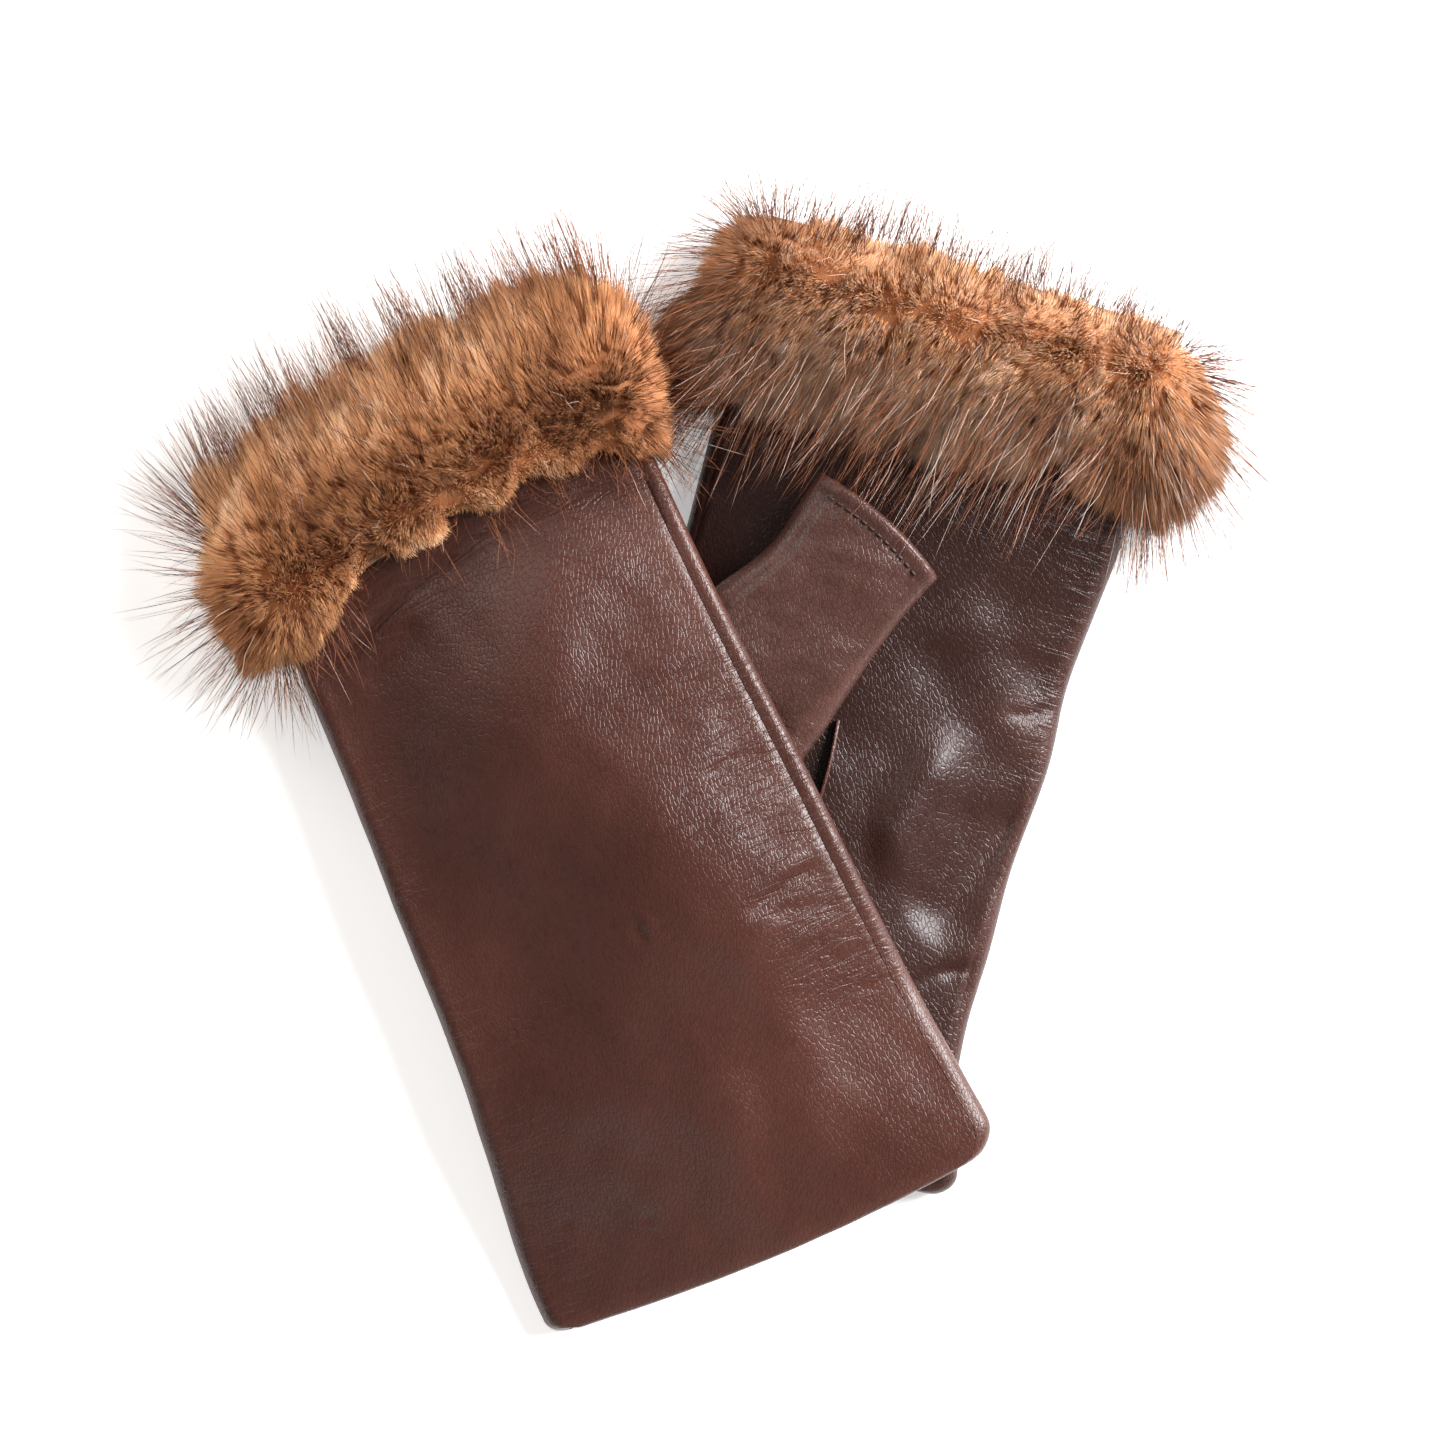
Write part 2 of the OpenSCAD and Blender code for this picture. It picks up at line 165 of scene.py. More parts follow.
# The lowest over the table that the fur's places, the hairs' middle lines and the sleeves, the hairs'
# sides and the stitches come
PILE_LOW = 0.3
HAIR_LOW = 0.25
HAIR_SIDE_LOW = 0.12
STITCH_LOW = 0.35
# The room that the hair tips stay in
TIP_BOX = ((-120.5, -128.0, 0.3), (120.5, 126.5, 41.0))


# ---- Small mathematics ----
def clamp(x):
    return np.clip(x, 0.0, 1.0)


def smooth(x):
    k = clamp(x)
    return k * k * (3 - 2 * k)


def turned(angle, x, y):
    c, s = cos(radians(angle)), sin(radians(angle))
    return x * c - y * s, x * s + y * c


def through(x, pairs):
    """A smooth curve through (place, value) pairs, level beyond both ends."""
    knots, values = np.array(pairs, float).T
    slopes = np.gradient(values, knots)
    x = np.clip(x, knots[0], knots[-1])
    i = np.clip(np.searchsorted(knots, x, side="right") - 1, 0, len(knots) - 2)
    h = knots[i + 1] - knots[i]
    k = (x - knots[i]) / h
    near = (2 * k**3 - 3 * k**2 + 1) * values[i] + (k**3 - 2 * k**2 + k) * h * slopes[i]
    far = (3 * k**2 - 2 * k**3) * values[i + 1] + (k**3 - k**2) * h * slopes[i + 1]
    return near + far


def unit(vectors):
    return vectors / np.linalg.norm(vectors, axis=-1, keepdims=True)


def waves(x, y, size, seed, count=18):
    """Seeded rolling noise about 0, of about unit height, with hills about size apart."""
    rng = np.random.default_rng(seed)
    total = 0.0
    for _ in range(count):
        angle, phase = rng.uniform(0, 2 * pi, 2)
        length = size * rng.uniform(0.7, 1.6)
        total = total + np.cos((x * cos(angle) + y * sin(angle)) * 2 * pi / length + phase)
    return total / np.sqrt(count / 2)


def fold(u, v, height, width, path):
    """A ridge or a crease along a path. It fades out at both of its ends."""
    path = np.array(path, float)
    pieces = np.diff(path, axis=0)
    lengths = np.hypot(*pieces.T)
    run = np.concatenate([[0], np.cumsum(lengths)]) / lengths.sum()
    nearest = np.full(np.shape(u), 1e9)
    place = np.zeros(np.shape(u))
    for k, (start, step) in enumerate(zip(path[:-1], pieces)):
        f = clamp(((u - start[0]) * step[0] + (v - start[1]) * step[1]) / (lengths[k] ** 2))
        distance = np.hypot(u - start[0] - f * step[0], v - start[1] - f * step[1])
        closer = distance < nearest
        nearest = np.where(closer, distance, nearest)
        place = np.where(closer, run[k] + f * (run[k + 1] - run[k]), place)
    fade = smooth(place / 0.3 + 0.15) * smooth((1 - place) / 0.3 + 0.15)
    return height * np.exp(-((nearest / width) ** 2)) * fade


# ---- The surfaces that the mitts lie on ----
def on_table(m, u, v):
    """Where a mitt's place is on the table, with the bows of its cuff and of its finger edge."""
    arch = CUFF_ARCH[m] * np.maximum(-0.4, 1 - (2 * u / CUFF_W) ** 2) * smooth((v - 100) / 50)
    bow = CORNER_DROP[m] + FINGER_BOW[m] * np.maximum(0, 1 - (2 * u / FINGER_W) ** 2)
    along = v + CUFF_SKEW[m] * u * clamp(v / LEATHER_LEN) + arch - bow * smooth(1 - v / 60)
    x, y = turned(MITT_TURN[m], u, along)
    return MITT_POS[m][0] + x, MITT_POS[m][1] + y


def in_mitt(m, x, y):
    return turned(-MITT_TURN[m], x - MITT_POS[m][0], y - MITT_POS[m][1])


def floor_z(m, u, v):
    """How high the underside lies: the right mitt on the table, the left mitt over the right one."""
    if m == RIGHT:
        return 5 * smooth((v - 95) / 55) + 0 * u
    x, y = in_mitt(RIGHT, *on_table(LEFT, u, np.minimum(v, LEATHER_LEN)))
    across, before = turned(THUMB_TURN[RIGHT], x - THUMB_ROOT[RIGHT][0], y - THUMB_ROOT[RIGHT][1])
    near_thumb = np.hypot(np.maximum(0, np.abs(across) - 17.5) / 52, np.maximum(0, -before) / 70)
    return (
        0.8
        + 8.4 * smooth((y + 46) / 48)
        + 3.2 * smooth((x + 52) / 30) * smooth((y + 12) / 30)
        + 9.6 * smooth(1.35 * (1 - near_thumb))
    )


# ---- Folds and wrinkles of the leather: height, width and path of each ----
FOLDS = {
    LEFT: (
        (-0.55, 0.9, ((39, 85.8), (32.1, 87.1), (24, 86.2))),
        (-0.3, 0.7, ((41, 67.8), (36.1, 68.8), (31, 68.6))),
        (-0.65, 1.0, ((40, 61.9), (30.3, 60.9), (20.5, 58.6))),
        (0.35, 1.6, ((39, 64.6), (30, 63.8), (22, 62))),
        (-0.35, 0.8, ((40, 53.2), (30.6, 56.2), (26, 57))),
        (-0.35, 0.8, ((42, 44.2), (36.6, 43.6), (33, 44.5))),
        (-0.3, 0.8, ((43.5, 37.1), (38, 36.9), (35, 38))),
        (-0.3, 0.8, ((38, 97.2), (29.4, 98.3), (21, 96.9))),
        (-0.25, 0.8, ((38, 106.7), (31.1, 106.9), (22, 106))),
        (-0.2, 0.7, ((38, 112.5), (31, 113), (24, 112))),
        (0.25, 1.8, ((39, 77), (30, 78.5), (22, 78))),
        (0.25, 1.8, ((40, 49.5), (33, 50.5), (27, 52))),
        (0.5, 13, ((-5, 128), (-19, 123), (-20, 100), (-18, 74))),
        (1.3, 9, ((22, 64), (20, 48), (16, 28))),
        (-0.4, 9, ((21, 108), (21, 90), (22, 76))),
        (0.8, 8, ((31, 134), (30, 118), (30, 104))),
        (0.45, 5, ((6, 47), (2, 25), (-1, 2))),
        (0.5, 5, ((28, 38), (20, 24), (12, 8))),
        (-0.35, 4, ((17, 44), (9, 26), (5, 8))),
        (-0.3, 4, ((-3, 40), (-10, 22), (-12, 5))),
        (-0.4, 1.5, ((1.5, 62.5), (0.6, 67.5))),
        (0.3, 1.2, ((3.4, 63), (2.6, 67.5))),
        (-0.12, 0.5, ((-8, 71.5), (-12, 74.5))),
        (-0.3, 0.9, ((-20.8, 14.6), (-20.2, 17.4))),
        (-0.3, 0.9, ((-36.4, 19), (-35.8, 22))),
        (-0.45, 2.6, ((-31, 132), (-22, 133.5), (-14, 137))),
    ),
    RIGHT: (
        (1.35, 7.0, ((14, 117), (29, 100.3), (42, 88))),
        (2.2, 5.0, ((24, 92), (20.2, 79.1), (16.4, 64.4), (11.5, 42))),
        (-2.0, 5.2, ((43, 82), (37.8, 71.6), (29.5, 47))),
        (-0.9, 3.4, ((31, 82), (29.9, 68.7), (25, 53), (21.6, 43.5))),
        (-0.9, 1.3, ((22, 33.5), (32.3, 41.4), (42, 46.6))),
        (0.25, 3.5, ((20, 38), (31, 45), (40, 51))),
        (0.5, 6, ((38, 130), (34, 118), (30, 106))),
        (-0.45, 6, ((24, 124), (22, 108), (10, 96))),
        (-0.5, 1.2, ((43, 101), (36, 97), (31, 96))),
        (0.5, 3, ((36, 38), (37, 24), (38, 10))),
        (-0.5, 2.2, ((31, 34), (32, 20), (33, 8))),
        (-0.8, 0.8, ((41.5, 56), (40.5, 50), (40.4, 37), (41.2, 20))),
    ),
}
# The crease of the left mitt below its fur
CREASE = (
    (-44, 141), (-40, 140.8), (-31, 139.8), (-17, 142), (-4, 144), (8, 145.3), (23, 144), (37, 142.8),
)
CREASE_DEPTH = ((-44, 0.9), (-20, 0.7), (0, 0.45), (37, 0.35))


def seen_of_right(u, v):
    """1 where the right mitt's upper side is clear of the left mitt that lies over it."""
    across, along = in_mitt(LEFT, *on_table(RIGHT, u, v))
    side = through(along, HALF_WIDTHS[LEFT][1])
    return smooth((across - side - 1.5) / 9)


def relief(m, t, u, v):
    """How far the leather stands out from the plain tube."""
    t = t % 8
    above = smooth((t - 0.35) / 0.6) * smooth((4.3 - t) / 0.6)
    if m == LEFT:
        above = above * smooth((LEATHER_LEN + 6 - v) / 8)
    rolling = ROLL_H[m] * waves(u, v, 40, 11 + m) + 0.05 * waves(u, v, 12, 21 + m) - 0.25
    folds = sum(fold(u, v, *one) for one in FOLDS[m])
    if m == LEFT:
        folds = folds - through(u, CREASE_DEPTH) * fold(u, v, 1.0, 1.8, CREASE)
    out = (rolling + folds) * above
    if m == RIGHT:
        seen = seen_of_right(u, v)
        out = np.where(out > 0, out * seen, out * np.maximum(seen, 0.3))
    for seam in SEAMS[m]:
        away = (t - seam) * FOLD_MM
        length = smooth((v - 22) / 40) if m == LEFT and seam < 1 else 0.6
        ridge = 0.4 * np.exp(-(((away + 2.2) / 1.7) ** 2)) * (seam < 4)
        out = out + length * (ridge - 0.62 * np.exp(-((away / 0.95) ** 2)))
    return out


# ---- The hand tube ----
def edges(m, v):
    """Half widths on the thumb side and the little-finger side, with the rounded finger corners."""
    both = []
    for k in (0, 1):
        r = CORNER_R[m][k]
        rounding = r * (1 - np.sqrt(1 - (1 - clamp(v / r)) ** 2))
        both.append(through(v, HALF_WIDTHS[m][k]) - rounding)
    return both


def section(t, c_minus, c_plus, fold_minus, fold_plus, r, d):
    """A place on the flat ring at t, d outside it: across and up."""
    angle = t * pi / 2
    flat = c_plus + c_minus
    minus_fold, last = angle - 1.5 * pi, angle - 3.5 * pi
    zones = [t < 1, t < 3, t < 5, t < 7]
    places = (
        c_plus + (fold_plus + d) * np.cos(angle),
        c_plus - flat * (t - 1) / 2,
        -c_minus - (fold_minus + d) * np.sin(minus_fold),
        -c_minus + flat * (t - 5) / 2,
    )
    across = np.select(zones, places, c_plus + (fold_plus + d) * np.sin(last))
    heights = (np.sin(angle), 1, np.cos(minus_fold), -1)
    up = (r + d) * np.select(zones, heights, -np.cos(last))
    return across, up


def tube(m, t, v, d):
    """A place on the plain hand tube, d outside the leather, and how far across it is."""
    t = t % 8
    minus, plus = edges(m, v)
    fold_minus, fold_plus = FOLD_R[m]
    c_minus, c_plus = minus - fold_minus, plus - fold_plus
    across, up = section(t, c_minus, c_plus, fold_minus, fold_plus, SIDE_R, d)
    q = np.where(across > 0, across / c_plus, across / c_minus)
    height = 2.4 + 2.6 * smooth(v / 60)
    crown = np.where((t > 1) & (t < 3), height * np.maximum(0, 1 - q * q) ** 1.5, 0)
    x, y = on_table(m, across, v)
    return np.stack([x, y, floor_z(m, across, v) + SIDE_R + up + crown], -1), across


def skin(m, t, v, d=0.0):
    """The leather with its folds, d outside its surface."""
    t, v, d = np.broadcast_arrays(np.asarray(t, float), np.asarray(v, float), np.asarray(d, float))
    point, across = tube(m, t, v, d)
    along_v = tube(m, t, v + 0.3, 0 * d)[0] - tube(m, t, v - 0.3, 0 * d)[0]
    along_t = tube(m, t + 0.03, v, 0 * d)[0] - tube(m, t - 0.03, v, 0 * d)[0]
    normal = np.cross(along_v, along_t)
    normal /= np.linalg.norm(normal, axis=-1, keepdims=True) + 1e-12
    return point + normal * relief(m, t, across, v)[..., None], across


def opening(m):
    """The middle of the opening in the palm and half its size, in t and in v."""
    return [(sum(ends) / 2, (ends[1] - ends[0]) / 2) for ends in (HOLE_T[m], HOLE_V)]


def round_hole(m, t, v):
    """Moves places near the rectangular opening so that it becomes an ellipse."""
    (mid_t, half_t), (mid_v, half_v) = opening(m)
    a, b = (t - mid_t) / half_t, (v - mid_v) / half_v
    k = np.maximum(np.maximum(np.abs(a), np.abs(b)), 1e-6)
    reach = 1.7
    on_square = a / k, b / k
    on_disc = tuple(p * np.sqrt(1 - q**2 / 2) for p, q in (on_square, on_square[::-1]))
    f = clamp((k - 1) / (reach - 1))
    a2 = on_disc[0] * (1 - f) + on_square[0] * reach * f
    b2 = on_disc[1] * (1 - f) + on_square[1] * reach * f
    inside = k < 1
    a2, b2 = np.where(inside, on_disc[0] * k, a2), np.where(inside, on_disc[1] * k, b2)
    near = k < reach
    return np.where(near, mid_t + a2 * half_t, t), np.where(near, mid_v + b2 * half_v, v)


# ---- Meshes ----
def mesh_object(name, points, faces, materials, attributes=None, slots=None, sharp=50):
    """faces is a list of arrays, each of equal-sided faces."""
    mesh = bpy.data.meshes.new(name)
    mesh.vertices.add(len(points))
    mesh.vertices.foreach_set("co", (np.asarray(points) * MM).ravel())
    faces = [np.asarray(f, int) for f in faces if len(f)]
    sizes = np.concatenate([np.full(len(f), f.shape[1]) for f in faces])
    mesh.loops.add(int(sizes.sum()))
    mesh.loops.foreach_set("vertex_index", np.concatenate([f.ravel() for f in faces]))
    mesh.polygons.add(len(sizes))
    mesh.polygons.foreach_set("loop_start", np.concatenate([[0], np.cumsum(sizes)[:-1]]))
    for material in materials:
        mesh.materials.append(material)
    if slots is not None:
        mesh.polygons.foreach_set("material_index", slots)
    mesh.update(calc_edges=True)
    mesh.validate()
    mesh.polygons.foreach_set("use_smooth", np.ones(len(mesh.polygons), bool))
    if sharp:
        mesh.set_sharp_from_angle(angle=radians(sharp))
    for key, values in (attributes or {}).items():
        values = np.asarray(values, np.float32)
        kind = "FLOAT_VECTOR" if values.ndim == 2 else "FLOAT"
        layer = mesh.attributes.new(key, kind, "POINT")
        layer.data.foreach_set("vector" if values.ndim == 2 else "value", values.ravel())
    piece = bpy.data.objects.new(name, mesh)
    bpy.context.scene.collection.objects.link(piece)
    return piece


def outward(points, faces):
    """The same faces, turned so that the closed solid's normals point out."""
    volume = 0.0
    for f in faces:
        a = points[f[:, 0]]
        for k in range(1, f.shape[1] - 1):
            volume += np.einsum("ij,ij->", a, np.cross(points[f[:, k]], points[f[:, k + 1]]))
    return faces if volume > 0 else [f[:, ::-1] for f in faces]


def looks(across, along, **more):
    """What the leather and the knit read: a place on the piece, how pale it is from rubbing and from painted
    highlights, and how wrinkled it is there.
    """
    return {"place": np.stack([across, along, 0 * across], -1), **more}


def shell(name, outer, inner, material, attributes, closed=False, keep=None):
    """A closed solid between two grids of points. keep says which cells are there."""
    rows, cols = outer.shape[:2]
    cells = cols if closed else cols - 1
    if keep is None:
        keep = np.ones((rows - 1, cells), bool)
    i, j = np.nonzero(keep)

    def at(k, i, j):
        return k * rows * cols + i * cols + j % cols

    def kept(i, j):
        if closed:
            j = j % cells
        inside = (i >= 0) & (i < rows - 1) & (j >= 0) & (j < cells)
        return inside & keep[np.clip(i, 0, rows - 2), np.clip(j, 0, cells - 1)]

    quads = [
        np.stack([at(0, i, j), at(0, i, j + 1), at(0, i + 1, j + 1), at(0, i + 1, j)], 1),
        np.stack([at(1, i, j), at(1, i + 1, j), at(1, i + 1, j + 1), at(1, i, j + 1)], 1),
    ]
    # The step to each neighbouring cell, and the two corners of the edge towards it
    sides = (
        ((-1, 0), (0, 0), (0, 1)), ((1, 0), (1, 1), (1, 0)),
        ((0, -1), (1, 0), (0, 0)), ((0, 1), (0, 1), (1, 1)),
    )
    for (di, dj), a, b in sides:
        rim = ~kept(i + di, j + dj)
        p, q = i[rim], j[rim]
        first, last = (p + a[0], q + a[1]), (p + b[0], q + b[1])
        quads.append(np.stack([at(0, *first), at(1, *first), at(1, *last), at(0, *last)], 1))
    faces = np.concatenate(quads)
    points = np.concatenate([outer.reshape(-1, 3), inner.reshape(-1, 3)])
    used, back = np.unique(faces, return_inverse=True)
    faces = back.reshape(faces.shape)
    points = points[used]
    layers = {}
    for key, values in attributes.items():
        values = values.reshape(rows * cols, *values.shape[2:])
        layers[key] = np.concatenate([values, values])[used]
    return mesh_object(name, points, outward(points, [faces]), [material], layers)


def ring_quads(rows, sides, closed=False):
    """Faces of a tube whose points are listed ring by ring. A closed one joins its last ring to its first."""
    i, j = np.meshgrid(np.arange(rows if closed else rows - 1), np.arange(sides), indexing="ij")
    i, j = i.ravel() * sides, j.ravel()
    k, l = (i + sides) % (rows * sides), (j + 1) % sides
    return np.stack([i + j, i + l, k + l, k + j], 1)


def thread_mesh(name, paths, radius, ply, closed=False, sides=6):
    """Threads along paths, closed into loops or with pointed ends. ply gives a twisted look."""
    all_points, quads, tris = [], [], []
    start = 0
    for path in paths:
        n = len(path)
        step = np.roll(path, -1, 0) - np.roll(path, 1, 0) if closed else np.gradient(path, axis=0)
        along = unit(step)
        side = unit(np.cross(along, [0.02, 0.03, 1.0]))
        up = np.cross(side, along)
        angle = 2 * pi * np.arange(sides) / sides
        size = radius * (1 + ply * np.cos(2 * (angle + 1.1 * np.arange(n)[:, None])))
        spoke = side[:, None] * np.cos(angle)[:, None] + up[:, None] * np.sin(angle)[:, None]
        ring = path[:, None] + size[..., None] * spoke
        all_points.append(ring.reshape(-1, 3))
        quads.append(start + ring_quads(n, sides, closed))
        start += n * sides
        if not closed:
            all_points.append(np.array([path[0] - along[0] * radius, path[-1] + along[-1] * radius]))
            j = np.arange(sides)
            l = (j + 1) % sides
            first, last = start - n * sides, start - sides
            tris.append(np.stack([np.full(sides, start), first + l, first + j], 1))
            tris.append(np.stack([np.full(sides, start + 1), last + j, last + l], 1))
            start += 2
    points = np.concatenate(all_points)
    faces = [np.concatenate(quads)] + ([np.concatenate(tris)] if tris else [])
    return mesh_object(name, points, outward(points, faces), [THREAD], sharp=0)


# ---- Materials ----
SHADER_INPUTS = {
    "color": "Base Color",
    "roughness": "Roughness",
    "normal": "Normal",
    "specular": "Specular IOR Level",
    "sheen": "Sheen Weight",
    "sheen_roughness": "Sheen Roughness",
    "glow": "Emission Color",
    "glow_strength": "Emission Strength",
}


class Nodes:
    """Short ways to add the nodes that the materials use."""

    def __init__(self, tree):
        self.tree = tree

    def add(self, kind, **inputs):
        node = self.tree.nodes.new(kind)
        for key, value in inputs.items():
            self.put(node.inputs[key], value)
        return node

    def put(self, socket, value):
        if isinstance(value, bpy.types.NodeSocket):
            self.tree.links.new(value, socket)
        elif socket.type == "RGBA":
            socket.default_value = (*value, 1.0)
        else:
            socket.default_value = value

    def shade(self, **values):
        for key, value in values.items():
            self.put(self.tree.nodes["Principled BSDF"].inputs[SHADER_INPUTS[key]], value)

    def math(self, how, a, b=0.0, limit=False):
        node = self.tree.nodes.new("ShaderNodeMath")
        node.operation = how
        node.use_clamp = limit
        for k, value in enumerate((a, b)):
            self.put(node.inputs[k], value)
        return node.outputs[0]

    def place(self, kind="Object"):
        return self.tree.nodes.new("ShaderNodeTexCoord").outputs[kind]

    def split(self, vector):
        return self.add("ShaderNodeSeparateXYZ", Vector=vector).outputs

    def attribute(self, name, output="Fac"):
        node = self.tree.nodes.new("ShaderNodeAttribute")
        node.attribute_name = name
        return node.outputs[output]

    def mapping(self, vector, scale, angle=0.0):
        rotation = (0, 0, radians(angle))
        return self.add("ShaderNodeMapping", Vector=vector, Scale=scale, Rotation=rotation).outputs[0]

    def noise(self, vector, scale, detail=3.0, roughness=0.55, distortion=0.0):
        values = {"Scale": scale, "Detail": detail, "Roughness": roughness, "Distortion": distortion}
        return self.add("ShaderNodeTexNoise", Vector=vector, **values).outputs["Fac"]

    def cells(self, vector, scale, feature="F1"):
        node = self.add("ShaderNodeTexVoronoi", Vector=vector, Scale=scale)
        node.feature = feature
        return node.outputs["Distance"]

    def between(self, value, low, high, to_low=0.0, to_high=1.0):
        node = self.tree.nodes.new("ShaderNodeMapRange")
        node.interpolation_type = "SMOOTHSTEP"
        for k, number in enumerate((value, low, high, to_low, to_high)):
            self.put(node.inputs[k], number)
        return node.outputs[0]

    def mix(self, factor, a, b):
        node = self.tree.nodes.new("ShaderNodeMix")
        node.data_type = "RGBA"
        self.put(node.inputs["Factor"], factor)
        self.put(node.inputs["A"], a)
        self.put(node.inputs["B"], b)
        return node.outputs["Result"]

    def bump(self, height, strength, distance, normal=None):
        node = self.add("ShaderNodeBump", Height=height, Strength=strength, Distance=distance)
        if normal is not None:
            self.put(node.inputs["Normal"], normal)
        return node.outputs[0]


def new_material(name):
    material = bpy.data.materials.new(name)
    material.use_nodes = True
    return material, Nodes(material.node_tree)


def leather_material(name, dark, light, glow, grain_angle, matte, specular):
    """Soft-gloss nappa: diagonal grain cells, pores, masked fine wrinkles, mottling, and paler edges, rubbed
    in places and painted highlights in others.
    """
    material, n = new_material(name)
    where = n.place()
    stretched = n.mapping(where, (1.0, 0.55, 1.0), grain_angle)
    grain = n.cells(stretched, 1250, "DISTANCE_TO_EDGE")
    furrows = n.between(grain, 0.0, 0.16)
    pores = n.between(n.cells(where, 900), 0.1, 0.32)
    pebble = n.noise(stretched, 700, 4.0, 0.6)
    mottle = n.noise(where, 38, 4.0, 0.6, 0.4)
    cloud = n.noise(where, 14, 3.0, 0.5)
    wrinkle = n.attribute("wrinkle")
    streaks = n.noise(n.mapping(n.attribute("place", "Vector"), (0.075, 0.42, 1.0)), 1.0, 3.0, 0.5, 0.8)
    lines = n.between(n.math("ABSOLUTE", n.math("SUBTRACT", streaks, 0.5)), 0.0, 0.08)
    creased = n.math("MULTIPLY", lines, wrinkle)
    tone = n.math("ADD", n.math("MULTIPLY", mottle, 0.55), n.math("MULTIPLY", cloud, 0.45))
    color = n.mix(n.between(tone, 0.2, 0.8), dark, light)
    # Paler towards glow where the leather is rubbed, and where a highlight is painted on: the lit edge roll,
    # beside the left seam, along a ridge of the palm and over the thumbs
    color = n.mix(n.math("MULTIPLY", n.attribute("worn"), 0.55, limit=True), color, glow)
    hollow = n.math("MULTIPLY", n.math("SUBTRACT", 1.0, furrows), 0.35)
    color = n.mix(hollow, color, tuple(c * 0.55 for c in dark))
    color = n.mix(n.math("MULTIPLY", wrinkle, 0.4), color, tuple(c * 0.8 for c in dark))
    rough = n.math("ADD", n.math("MULTIPLY", pebble, 0.16), n.math("MULTIPLY", mottle, 0.12))
    rough = n.math("ADD", rough, matte)
    normal = n.bump(creased, 0.55, 0.00026)
    normal = n.bump(n.noise(where, 260, 3.0, 0.6), 0.14, 0.0002, normal)
    normal = n.bump(furrows, 0.5, 0.00008, normal)
    normal = n.bump(n.math("MULTIPLY", pores, pebble), 0.3, 0.00006, normal)
    n.shade(color=color, roughness=rough, normal=normal, specular=specular)
    return material


def knit_material(name):
    """Fine ribbed wool knit: columns of V-shaped stitches."""
    material, n = new_material(name)
    place = n.attribute("place", "Vector")
    across, along, _ = n.split(place)
    column = n.math("ABSOLUTE", n.math("SINE", n.math("MULTIPLY", across, pi / 1.3)))
    lean = n.math("MULTIPLY", n.math("PINGPONG", across, 0.65), 1.4)
    loop = n.math("ABSOLUTE", n.math("SINE", n.math("MULTIPLY", n.math("ADD", along, lean), pi / 1.1)))
    stitch = n.math("MULTIPLY", column, loop)
    fuzz = n.noise(place, 6.0, 4.0, 0.7)
    color = n.mix(n.between(stitch, 0.05, 0.8), (0.014, 0.007, 0.006), (0.07, 0.038, 0.03))
    normal = n.bump(fuzz, 0.4, 0.0001, n.bump(stitch, 0.8, 0.0004))
    n.shade(color=color, roughness=n.between(fuzz, 0.2, 0.8, 0.78, 0.98), normal=normal)
    n.shade(specular=0.15, sheen=0.25, sheen_roughness=0.5)
    return material


def suede_material(name):
    """The tanned skin side of the pelt: pale, matte and finely napped."""
    material, n = new_material(name)
    where = n.place()
    patches = n.noise(where, 60, 4.0, 0.6)
    nap = n.noise(where, 1400, 3.0, 0.7)
    color = n.mix(n.between(patches, 0.3, 0.7), (0.3, 0.18, 0.11), (0.48, 0.33, 0.22))
    rough = n.between(nap, 0.2, 0.8, 0.8, 1.0)
    n.shade(color=color, roughness=rough, normal=n.bump(nap, 0.4, 0.00008), specular=0.15)
    return material


def thread_material(name):
    """Waxed twisted thread."""
    material, n = new_material(name)
    fibres = n.noise(n.place(), 2600, 3.0, 0.6)
    color = n.mix(fibres, (0.016, 0.007, 0.006), (0.05, 0.02, 0.016))
    rough = n.between(fibres, 0.3, 0.7, 0.42, 0.6)
    n.shade(color=color, roughness=rough, normal=n.bump(fibres, 0.4, 0.00005), specular=0.4)
    return material


def hair_material(name, color, roughness, specular):
    """Plain hair: the fur's look comes from the mixture of tones and from its shape."""
    material, n = new_material(name)
    n.shade(color=color, roughness=roughness, specular=specular)
    return material


LEATHER = [
    leather_material(
        "leather_right", dark=(0.017, 0.0052, 0.0037), light=(0.031, 0.0098, 0.007),
        glow=(0.12, 0.052, 0.04), grain_angle=28, matte=0.2, specular=0.34,
    ),
    leather_material(
        "leather_left", dark=(0.039, 0.0105, 0.0066), light=(0.064, 0.0185, 0.0118),
        glow=(0.11, 0.047, 0.034), grain_angle=-42, matte=0.22, specular=0.4,
    ),
]
KNIT = knit_material("wool_knit")
SUEDE = suede_material("pelt_suede")
THREAD = thread_material("waxed_thread")
FUR_TONES = [
    hair_material(f"fur_{k}", color, 0.6, 0.15)
    for k, color in enumerate((
        (0.2, 0.08, 0.034), (0.34, 0.14, 0.058), (0.49, 0.215, 0.093), (0.62, 0.3, 0.135),
        (0.75, 0.39, 0.185), (0.86, 0.5, 0.27), (0.92, 0.63, 0.41), (0.5, 0.33, 0.24), (0.7, 0.5, 0.38),
    ))
]
BROWNS = 6
GREYS = (7, 8)
FUR_CORE = hair_material("fur_core", (0.33, 0.135, 0.058), 0.8, 0.1)
GUARD = [
    hair_material("guard_dark", (0.045, 0.015, 0.009), 0.55, 0.15),
    hair_material("guard_brown", (0.24, 0.09, 0.044), 0.55, 0.15),
    hair_material("guard_pale", (0.55, 0.4, 0.33), 0.5, 0.3),
]


def finish(piece, m, part, node):
    """Fixes a piece to its body and hides the CAD solid that it stands for."""
    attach(piece, f"{SIDE[m]}_{part}")
    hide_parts(f"{SIDE[m]}_{node}")


# ---- Leather panels ----
def mm_steps(start, stop, step):
    """Even steps from start to stop, each about as long as step."""
    return np.linspace(start, stop, max(2, int(round(abs(stop - start) / step)) + 1))


